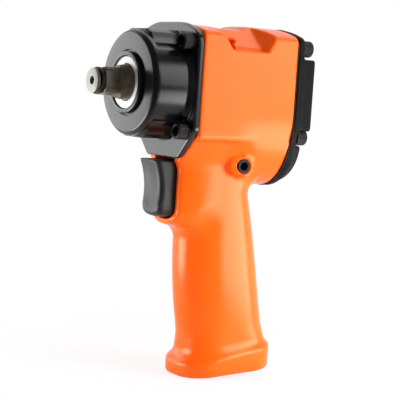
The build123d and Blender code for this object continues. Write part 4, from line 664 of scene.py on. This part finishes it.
# The end face, ground after hardening: bare and bright.
ground_end = made_material("ground_hardened_steel", ("#8C8B86", "#9C9B96"), 3, (0.40, 0.48), (0.4, 0.004),
                           Metallic=1.0)
anvil.data.materials.append(phosphate)
anvil.data.materials.append(ground_end)
middle = np.empty((len(anvil.data.polygons), 3), np.float32)
anvil.data.polygons.foreach_get("center", middle.ravel())
anvil.data.polygons.foreach_set("material_index", (middle[:, 0] > (NOSE_END - 0.2) * MM).astype(np.int32))
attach(anvil, "anvil_group")
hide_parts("anvil")


# Friction ring: spring wire of flat section, blacked, split at one side so that it can be sprung
# over the nose into its groove. A rubber ring under it pushes it out.
RING_R, RING_HOLE_R, RING_GAP, RING_PLAY = 6.75, 5.93, 1.6, 0.3
gap_half = np.arcsin(RING_GAP / 2 / RING_R)
ring_angle = np.linspace(gap_half, 2 * np.pi - gap_half, 120) - np.pi / 2
ring_line = rounded([(SQUARE_END + RING_PLAY, RING_HOLE_R, 0.1), (SQUARE_END + RING_PLAY, RING_R, 0.7),
                     (RING_END - RING_PLAY, RING_R, 0.7), (RING_END - RING_PLAY, RING_HOLE_R, 0.1)], True)
x, y, z = np.broadcast_arrays(*round_drive(ring_line[:, 0], ring_line[:, 1:] + 0 * ring_angle, ring_angle))
# Each cut end closes on the middle of its own section.
ends = [np.hstack([v[:, :1] * 0 + v[:, 0].mean(), v, v[:, :1] * 0 + v[:, -1].mean()]) for v in (x, y, z)]
points, quads = swept(*ends, True)
friction = finished_mesh("friction_ring_spring", points, quads, 40)
friction.data.materials.append(black_oxide)
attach(friction, "anvil_group")
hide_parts("friction_ring")


# Anvil bush: a plain bearing of steel that the anvil turns in. It is turned, polished at the end
# that shows, and pressed into the case's nose.
BUSH_R, BUSH_HOLE_R, BUSH_END = 13.06, 9.16, 62.8
bush_line = rounded([(CHAMBER_END, BUSH_HOLE_R, 0.2), (CHAMBER_END, BUSH_R, 0.3), (BUSH_END, BUSH_R, 0.5),
                     (BUSH_END, BUSH_HOLE_R, 0.7)], True)
bush = together("anvil_bush_turned", [ring_grid(bush_line, anvil_angle)], 40)
# Polished bearing steel: nearly white, with a spread gloss.
polished = made_material("polished_bearing_steel", ("#D6D6D4", "#E0E0DE"), 5, (0.5, 0.58), (0.5, 0.004),
                         Metallic=0.8)
bush.data.materials.append(polished)
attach(bush, "tool_body")
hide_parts("anvil_bush")


# Trigger: moulded in glass-filled nylon, with a hollow face for the finger and a round toe below.
# It slides in the housing's block on a steel rod.
TRIGGER_TOP, TRIGGER_LOW, TRIGGER_BACK, TRIGGER_HALF_W, ROD_R = 109.0, 79.2, 26.0, 9.0, 2.03
HOLLOW_X, HOLLOW_Z, HOLLOW_R = 83.16, 92.6, 39.81    # circle that the hollow face follows
TOE_X, TOE_Z, TOE_DEPTH, TOE_HEIGHT, TOE_SLOPE = 39.8, 84.8, 5.6, 6.6, 0.3
FACE_CURVE, ROD_HOLE_DEPTH = 0.015, 6.0              # how the face curves back to its sides; the rod's hole


def trigger(x, y, z):
    """Distance to the trigger: a hollow face over an oval toe, with the face's edges well rounded."""
    y = np.abs(y)
    face = HOLLOW_R - np.hypot(x - HOLLOW_X, z - HOLLOW_Z) - FACE_CURVE * y * y
    out = x - TOE_X - TOE_SLOPE * np.maximum(z - TOE_Z, 0)
    toe = oval(np.maximum(out, 0), np.minimum(z - TOE_Z, 0), TOE_DEPTH, TOE_HEIGHT, 2.0)
    face = smooth_max(face, toe, 1.6)
    sides = smooth_max(y - TRIGGER_HALF_W, TRIGGER_LOW - z, 7.0)
    body = smooth_max(face, sides, 4.2)
    body = smooth_max(body, np.maximum(z - TRIGGER_TOP, TRIGGER_BACK - x), 0.8)
    return np.maximum(body, -np.maximum(rod(y, z - ROD_Z, ROD_R), x - TRIGGER_BACK - ROD_HOLE_DEPTH))


# Glass-filled nylon: black, dull, with the fine even grain of a sparked mould.
nylon = made_material("glass_filled_nylon_moulded", ("#161617", "#1E1E1F"), 8, (0.42, 0.5), (0.45, 0.014),
                      IOR=1.53)
pull = cast_piece("trigger_moulding", trigger, (25.0, -10.0, 78.0), (50.0, 10.0, 110.2), 0.45)
pull.data.materials.append(nylon)
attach(pull, "trigger_group")
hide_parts("trigger")


# Rear cover: cast alloy, enamelled black like the hammer case, but dull. A flat plate over the end of
# the housing carries a thick block over the motor and a round lobe over the reversing valve.
COVER_FRONT, COVER_PLATE, COVER_BLOCK, COVER_LOBE = -23.5, -27.5, -34.9, -34.0
COVER_HALF_W, COVER_BLOCK_LOW, COVER_BLOCK_TOP = 27.6, -19.6, 17.5
LOBE_Z, LOBE_TOP, LOBE_R, LOBE_DRAFT = -26.0, -27.5, 24.0, 2.7
RECESS_R, RECESS_DEPTH, STEM_BORE_R = 23.2, 2.0, 4.06              # over the motor, and for the valve's stem
DETENT_ARM, DETENT_BORE_R, DETENT_BORE_DEPTH = 5.6, 1.56, 6.5      # the detent, beside the stem
SEAT_R, SCREW_HOLE_R = 4.9, 2.8                                    # for the screws and their washers
DOWEL_Z, DOWEL_HOLE_R, DOWEL_HOLE_DEPTH = -20.0, 1.28, 3.3         # for the liner's dowel


def rear_cover(x, y, z):
    """Distance to the cover: plate, block and lobe joined with fillets, then recesses cut."""
    left, y = y, np.abs(y)
    h = z - AXIS_Z
    outline = np.maximum(head_top(y, h, crown(REAR_X)), round_chin(y, h))
    plate = smooth_max(outline, slab(x, COVER_PLATE, COVER_FRONT), 0.9)
    block = smooth_max(y - COVER_HALF_W, slab(h, COVER_BLOCK_LOW, COVER_BLOCK_TOP), 1.4)
    block = np.maximum(smooth_max(block, COVER_BLOCK - x, 1.5), x - COVER_FRONT - 1)
    draft = np.clip((COVER_PLATE - x) / (COVER_PLATE - COVER_LOBE), 0, 1)
    lobe = smooth_max(rod(y, h - LOBE_Z, LOBE_R - LOBE_DRAFT * draft), h - LOBE_TOP, 1.6)
    lobe = np.maximum(smooth_max(lobe, COVER_LOBE - x, 1.8), x - COVER_FRONT - 1)
    body = smooth_max(smooth_min(plate, smooth_min(block, lobe, 1.0), 1.4), x - COVER_FRONT, 0.3)
    screw_y, screw_h = y - SCREW_Y, np.abs(h) - REAR_SCREW_Z
    hollow = np.maximum(rod(y, h, RECESS_R), COVER_FRONT - RECESS_DEPTH - x)
    for bore in (
        rod(y, z - SPOOL_Z, STEM_BORE_R),
        np.maximum(rod(left - DETENT_ARM, z - SPOOL_Z, DETENT_BORE_R), x - COVER_LOBE - DETENT_BORE_DEPTH),
        np.maximum(rod(screw_y, screw_h, SEAT_R), x - COVER_PLATE),
        rod(screw_y, screw_h, SCREW_HOLE_R),
        np.maximum(rod(y, h - DOWEL_Z, DOWEL_HOLE_R), COVER_FRONT - DOWEL_HOLE_DEPTH - x),
    ):
        hollow = np.minimum(hollow, bore)
    return smooth_max(body, -hollow, 0.5)


cover = cast_piece("rear_cover_casting", rear_cover, (-36.5, -29.0, 95.0), (-22.5, 29.0, 181.5), 0.65)
# Dull black enamel: the cover's skin is coarser, so it spreads the light.
black_dull = made_material("dull_black_enamel_on_casting", ("#0C0C0D", "#151516"), 9, (0.50, 0.60),
                           (0.7, 0.02), IOR=1.5, Specular_IOR_Level=0.1)
cover.data.materials.append(black_dull)
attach(cover, "tool_body")
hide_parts("rear_cover")


# Reversing knob: moulded in the same nylon as the trigger, with a finger bar across its back and a
# fluted rim, held on the valve's stem by a slotted screw.
KNOB_FRONT, KNOB_BACK, BAR_BACK, KNOB_R, BAR_HALF_W = -34.4, -38.4, -41.4, 8.0, 2.2
FLUTES, FLUTE_HALF_DEPTH = 24, 0.18
STEM_HOLE_R, STEM_HOLE_END, KNOB_SCREW_R = 4.03, -38.13, 1.8
SCREW_HEAD_R, SCREW_HEAD_X, DETENT_X, DETENT_R = 2.63, -38.7, -33.4, 1.8


def reverse_knob(x, y, z):
    """Distance to the knob: a fluted disc and a bar, with holes for the stem, screw and detent."""
    h = z - SPOOL_Z
    r = np.hypot(y, h)
    flute = FLUTE_HALF_DEPTH * (1 + np.cos(FLUTES * np.arctan2(h, y)))
    disc = smooth_max(r - KNOB_R + flute, slab(x, KNOB_BACK, KNOB_FRONT), 1.0)
    bar = smooth_max(np.abs(y) - BAR_HALF_W, r - KNOB_R + 0.3, 1.2)
    bar = smooth_max(bar, slab(x, BAR_BACK, KNOB_FRONT - 1), 1.4)
    body = smooth_min(disc, bar, 1.2)
    hollow = np.minimum(np.maximum(r - STEM_HOLE_R, STEM_HOLE_END - x), r - KNOB_SCREW_R)
    hollow = np.minimum(hollow, np.maximum(r - SCREW_HEAD_R, x - SCREW_HEAD_X))
    hollow = np.minimum(hollow, rod(r - DETENT_ARM, x - DETENT_X, DETENT_R))
    return smooth_max(body, -hollow, 0.3)


knob_low, knob_high = (-42.2, -9.0, SPOOL_Z - 9), (-33.6, 9.0, SPOOL_Z + 9)
knob = cast_piece("reversing_knob_moulding", reverse_knob, knob_low, knob_high, 0.35)
knob.data.materials.append(nylon)
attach(knob, "reverse_group")
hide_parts("reverse_knob")


# Side plugs: blacked screws with hexagon sockets that close the drilled ends of the air ways, one
# in a raised boss on each side, each sealed by a flat ring.
PLUG_LENGTH, PLUG_SCREW_R, PLUG_SUNK = 7.0, 3.75, 0.6
PLUG_KEY, PLUG_KEY_DEPTH, PLUG_MOUTH_R, PLUG_RIM_R = 1.9, 3.0, 2.5, 2.3
plug_line = rounded([(0, 0, 0), (0, PLUG_SCREW_R, 0.4), (PLUG_LENGTH, PLUG_SCREW_R, 0.4),
                     (PLUG_LENGTH, PLUG_MOUTH_R, 0.2), (PLUG_LENGTH - KEY_RIM_DEPTH, PLUG_RIM_R, 0)], False)
key_end = PLUG_LENGTH - PLUG_KEY_DEPTH
plug_s = np.concatenate([plug_line[:, 0], [key_end, key_end - KEY_POINT]])
plug_r = np.concatenate([plug_line[:, 1], [0, 0]])[:, None] + 0 * screw_angle
plug_r[len(plug_line) - CORNER_STEPS:-1] = hexagon(screw_angle, PLUG_KEY)
plug_y = PLUG_FACE_Y - PLUG_SUNK - PLUG_LENGTH + plug_s[:, None]
plug_grids = []
for side in (1, -1):
    points, quads = swept(PLUG_X + plug_r * np.sin(screw_angle), side * plug_y,
                          PLUG_Z + plug_r * np.cos(screw_angle), False)
    plug_grids.append((points, quads[:, ::side]))
plugs = together("side_plug_screws", plug_grids, 40)
plugs.data.materials.append(black_oxide)
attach(plugs, "tool_body")
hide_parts("side_plugs")


# Air inlet bush: turned steel, zinc plated, screwed up into the foot, with a pipe thread cut in its
# mouth for the hose's plug.
INLET_RIM_R, INLET_RIM_T, INLET_BODY_R, INLET_TOP, THROAT_R = 9.6, 1.4, 8.5, 22.0, 4.2
THREAD_PITCH, THREAD_DEPTH, INLET_R, THREAD_END, THREAD_FADE = 1.41, 0.35, 5.72, 14.0, 1.5
bush_angle = np.linspace(0, 2 * np.pi, 144, endpoint=False)
outside = rounded([(0.0, INLET_R + 0.9, 0), (0.0, INLET_RIM_R, 0.35), (INLET_RIM_T, INLET_RIM_R, 0.2),
                   (INLET_RIM_T, INLET_BODY_R, 0), (INLET_TOP, INLET_BODY_R, 0.3), (INLET_TOP, THROAT_R, 0.3),
                   (THREAD_END, THROAT_R, 0.2), (THREAD_END, INLET_R, 0)], False)
thread_z = np.linspace(THREAD_END, 0.5, 130)
turn = np.mod(thread_z[:, None] / THREAD_PITCH - bush_angle / (2 * np.pi), 1)
fade = ease(-thread_z[:, None] / THREAD_FADE + THREAD_END / THREAD_FADE)
thread_r = INLET_R + THREAD_DEPTH * (1 - np.abs(2 * turn - 1)) * fade
inlet_z = np.concatenate([outside[:, 0], thread_z])[:, None]
inlet_r = np.concatenate([outside[:, 1:] + 0 * bush_angle, thread_r])
points, quads = swept(inlet_r * np.cos(bush_angle), inlet_r * np.sin(bush_angle), inlet_z, True)
inlet = finished_mesh("inlet_bush_turned", points, quads, 45)
# Bright zinc: pale grey, clean, with a slightly cloudy gloss.
zinc = made_material("zinc_plated_steel", ("#8E9196", "#A4A6A8"), 3, (0.24, 0.36), (0.5, 0.006), Metallic=1.0)
inlet.data.materials.append(zinc)
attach(inlet, "tool_body")
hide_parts("inlet_bush")


# Exhaust deflector: a slotted plate of the same nylon, pushed into the front of the sole, under a
# block of felt that quietens the air.
DEFLECTOR_LOW, DEFLECTOR_TOP = -2.3, 0.7
DEFLECTOR_FRONT, DEFLECTOR_REAR, DEFLECTOR_HALF_W = 18.2, 11.2, 10.2
INNER_GAP_Y, OUTER_GAP_Y, GAP_HALF_W = 2.25, 6.75, 1.1    # the slots, as long as the silencer's chest


def deflector(x, y, z):
    """Distance to the plate with its four slots."""
    y = np.abs(y)
    plan = rounded_plan(x, y, DEFLECTOR_FRONT, DEFLECTOR_REAR, DEFLECTOR_HALF_W, 0.8)
    plate = smooth_max(plan, slab(z, DEFLECTOR_LOW, DEFLECTOR_TOP), 0.5)
    slots = np.minimum(np.abs(y - INNER_GAP_Y), np.abs(y - OUTER_GAP_Y)) - GAP_HALF_W
    return smooth_max(plate, -smooth_max(slots, slab(x, *CHEST), 0.6), 0.5)


vent = cast_piece("exhaust_deflector_moulding", deflector, (10.4, -11.0, -3.1), (19.0, 11.0, 1.5), 0.35)
vent.data.materials.append(nylon)
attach(vent, "tool_body")
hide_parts("exhaust_deflector")


# Inner works, which keep the shapes of the solids: the motor, bearings, hammer, throttle, reversing
# valve and seals. Each takes the finish of what it is made of.
# Ground steel: pale and even, with a fine gloss.
ground = made_material("ground_alloy_steel", ("#7E8084", "#94969A"), 4, (0.22, 0.32), (0.3, 0.004),
                       Metallic=1.0)
# Grey cast iron, bored and honed: darker, with a dull gloss.
iron = made_material("honed_grey_iron", ("#4E4F51", "#626365"), 3, (0.34, 0.46), (0.4, 0.01), Metallic=1.0)
# Drawn spring wire: darker and brighter in patches.
wire = made_material("drawn_spring_steel", ("#5E6064", "#7C7E82"), 1.5, (0.25, 0.38), (0.3, 0.005),
                     Metallic=1.0)
# Turned brass: warm yellow with a brown cast.
brass = made_material("turned_brass", ("#A07A34", "#B48E46"), 4, (0.26, 0.38), (0.4, 0.006), Metallic=1.0)
# Nitrile rubber: soft black without gloss.
rubber = made_material("moulded_nitrile_rubber", ("#121212", "#1B1B1B"), 3, (0.6, 0.75), (0.4, 0.012),
                       IOR=1.52)
# Gasket sheet: dark pressed fibre, with a rough cut edge.
fibre = made_material("pressed_fibre_gasket", ("#131313", "#222120"), 1.2, (0.75, 0.9), (0.5, 0.03))
# Wool felt: pale grey-brown, with a loose nap.
felt = made_material("wool_felt", ("#8F8878", "#B0A894"), 0.8, (0.9, 1.0), (0.5, 0.12))
# Phenolic cloth: brown resin, mottled by the cloth in it.
phenolic = made_material("phenolic_cloth_laminate", ("#4A2E18", "#6A4526"), 0.9, (0.4, 0.55), (0.6, 0.01),
                         IOR=1.6)
inner_finish = {
    "bright_steel": polished, "ground_steel": ground, "liner_iron": iron, "spring_steel": wire,
    "brass": brass, "spool_steel": ground, "seal_rubber": rubber, "gasket": fibre, "felt": felt,
    "vane_resin": phenolic, "inlet_steel": zinc, "black_screws": black_oxide, "black_ring": black_oxide,
    "anvil_steel": phosphate, "knob_plastic": nylon, "trigger_plastic": nylon, "orange_paint": enamel,
    "black_case": black_gloss, "black_cover": black_dull,
}
for part in frame["record"]["subparts"]:
    node = frame["nodes"][part["node"]]
    node.data.materials.clear()
    node.data.materials.append(inner_finish[part["material_slot"]])


# Camera at the photograph's place, level with the drive and ahead of the tool's left side, and
# rolled a little.
RIGHT = np.array([-0.83251, 0.55006, 0.06608])
UP = np.array([0.00414, -0.11309, 0.99358])
BACK = np.array([0.554, 0.82743, 0.09187])
EYE = np.array([389.9, 562.2, 150.6])
lens = bpy.data.cameras.new("camera")
lens.sensor_width = 36.0
lens.lens = 117.0
camera = bpy.data.objects.new("camera", lens)
camera.matrix_world = Matrix([[*map(float, (RIGHT[i], UP[i], BACK[i])), float(EYE[i]) * MM] for i in range(3)]
                             + [[0, 0, 0, 1]])
bpy.context.scene.collection.objects.link(camera)
bpy.context.scene.camera = camera

# Studio: a pale paper floor just under the toe, a white room, and soft boxes round the tool.
scene = bpy.context.scene
scene.view_settings.view_transform = "Standard"


def seen_rays(material, mirrored=1.0, others=0.0):
    """1 on rays from the camera, mirrored on those from a mirror or through glass, others on the rest."""
    path = add(material, "LightPath")
    both = add(material, "Math", {0: path.outputs["Is Glossy Ray"], 1: path.outputs["Is Transmission Ray"]},
               operation="MAXIMUM")
    unseen = add(material, "Mix", {0: both.outputs[0], 2: others, 3: mirrored})
    return add(material, "Mix", {0: path.outputs["Is Camera Ray"], 2: unseen.outputs[0], 3: 1.0}).outputs[0]


FLOOR_Z, FLOOR_HALF = -4.2, 4000.0
floor_corners = ((-1, -1), (1, -1), (1, 1), (-1, 1))
floor_points = np.array([(x * FLOOR_HALF, y * FLOOR_HALF, FLOOR_Z) for x, y in floor_corners])
floor = finished_mesh("floor", floor_points, np.array([[0, 1, 2, 3]]))
paper = made_material("white_paper_sweep", ("#F2F2F2", "#F6F6F6"), 90, (0.85, 0.95), (0.5, 0.01))
place = add(paper, "TexCoord").outputs["Object"]
distance = add(paper, "VectorMath", {0: place}, operation="LENGTH")
# The paper is plainly white some way off, and shows the tool's shadow near it.
whiteness = add(paper, "MapRange", {"Value": distance.outputs["Value"], "From Min": 0.03, "From Max": 0.22,
                                    "To Min": 0.80, "To Max": 1.0})
# Mirrors see it glow white behind the tool. On the camera's side its glow is turned down to a painted dark,
# as if nothing lit it there.
beyond = add(paper, "VectorMath", {0: place, 1: tuple(-BACK)}, operation="DOT_PRODUCT")
mirror_glow_with_painted_dark = add(paper, "MapRange", {"Value": beyond.outputs["Value"], "From Min": -0.25, "From Max": 0.15,
                                   "To Min": 0.05}, interpolation_type="SMOOTHSTEP")
part_seen = add(paper, "Math", {0: seen_rays(paper), 1: whiteness.outputs["Result"]}, operation="MULTIPLY")
# The glow that mirrors see carries the painted dark on the camera's side.
glow = add(paper, "Emission", {"Color": linear("#FFFFFF"),
                               "Strength": seen_rays(paper, mirror_glow_with_painted_dark.outputs["Result"])})
mixed = add(paper, "MixShader", {0: part_seen.outputs[0],
                                 1: paper.node_tree.nodes["Principled BSDF"].outputs[0],
                                 2: glow.outputs[0]})
paper.node_tree.links.new(mixed.outputs[0], paper.node_tree.nodes["Material Output"].inputs["Surface"])
floor.data.materials.append(paper)

room = bpy.data.worlds.new("studio")
scene.world = room
room.use_nodes = True
sky = room.node_tree.nodes["Background"]
sky.inputs["Color"].default_value = linear("#FFFFFF")
# Mirrors see the white sheet where it hangs, behind the tool, and a dark room on the camera's side.
way = add(room, "TexCoord").outputs["Generated"]
behind = add(room, "VectorMath", {0: way, 1: tuple(-BACK)}, operation="DOT_PRODUCT")
sheet = add(room, "MapRange", {"Value": behind.outputs["Value"], "From Min": 0.1, "From Max": 0.45,
                               "To Min": 0.08}, interpolation_type="SMOOTHSTEP")
strength = seen_rays(room, sheet.outputs["Result"], 0.5)
room.node_tree.links.new(strength, sky.inputs["Strength"])

# Each lamp aims at the tool's middle, and stands so far right, up and back from it as the camera sees.
# Its width and height are in mm and its power in watts. The gloss shows every lamp but the key light.
MIDDLE = np.array([10.0, 0.0, 90.0])
for name, right, up, back, width, height, power, in_gloss in (
    ("key_light", 430, 40, 100, 300, 300, 1.42, False),
    ("right_box", 560, 190, 200, 250, 430, 1.05, True),
    ("grip_box", 200, -53, 40, 190, 98, 0.34, True),
    ("top_box", 300, 520, -150, 380, 380, 0.5, True),
    ("rim_box", -520, 150, -240, 300, 560, 1.2, True),
    ("left_box", -237, -50, 37, 165, 110, 0.54, True),
):
    box = bpy.data.lights.new(name, "AREA")
    box.shape, box.size, box.size_y, box.energy = "RECTANGLE", width * MM, height * MM, power
    lamp = bpy.data.objects.new(name, box)
    lamp.visible_glossy, lamp.visible_camera = in_gloss, False
    place = MIDDLE + right * RIGHT + up * UP + back * BACK
    aim = (place - MIDDLE) / np.linalg.norm(place - MIDDLE)
    across = np.cross([0, 0, 1], aim)
    across = across / np.linalg.norm(across)
    over = np.cross(aim, across)
    lamp.matrix_world = Matrix([[*map(float, (across[i], over[i], aim[i])), float(place[i]) * MM]
                                for i in range(3)] + [[0, 0, 0, 1]])
    scene.collection.objects.link(lamp)

bpy.context.view_layer.update()
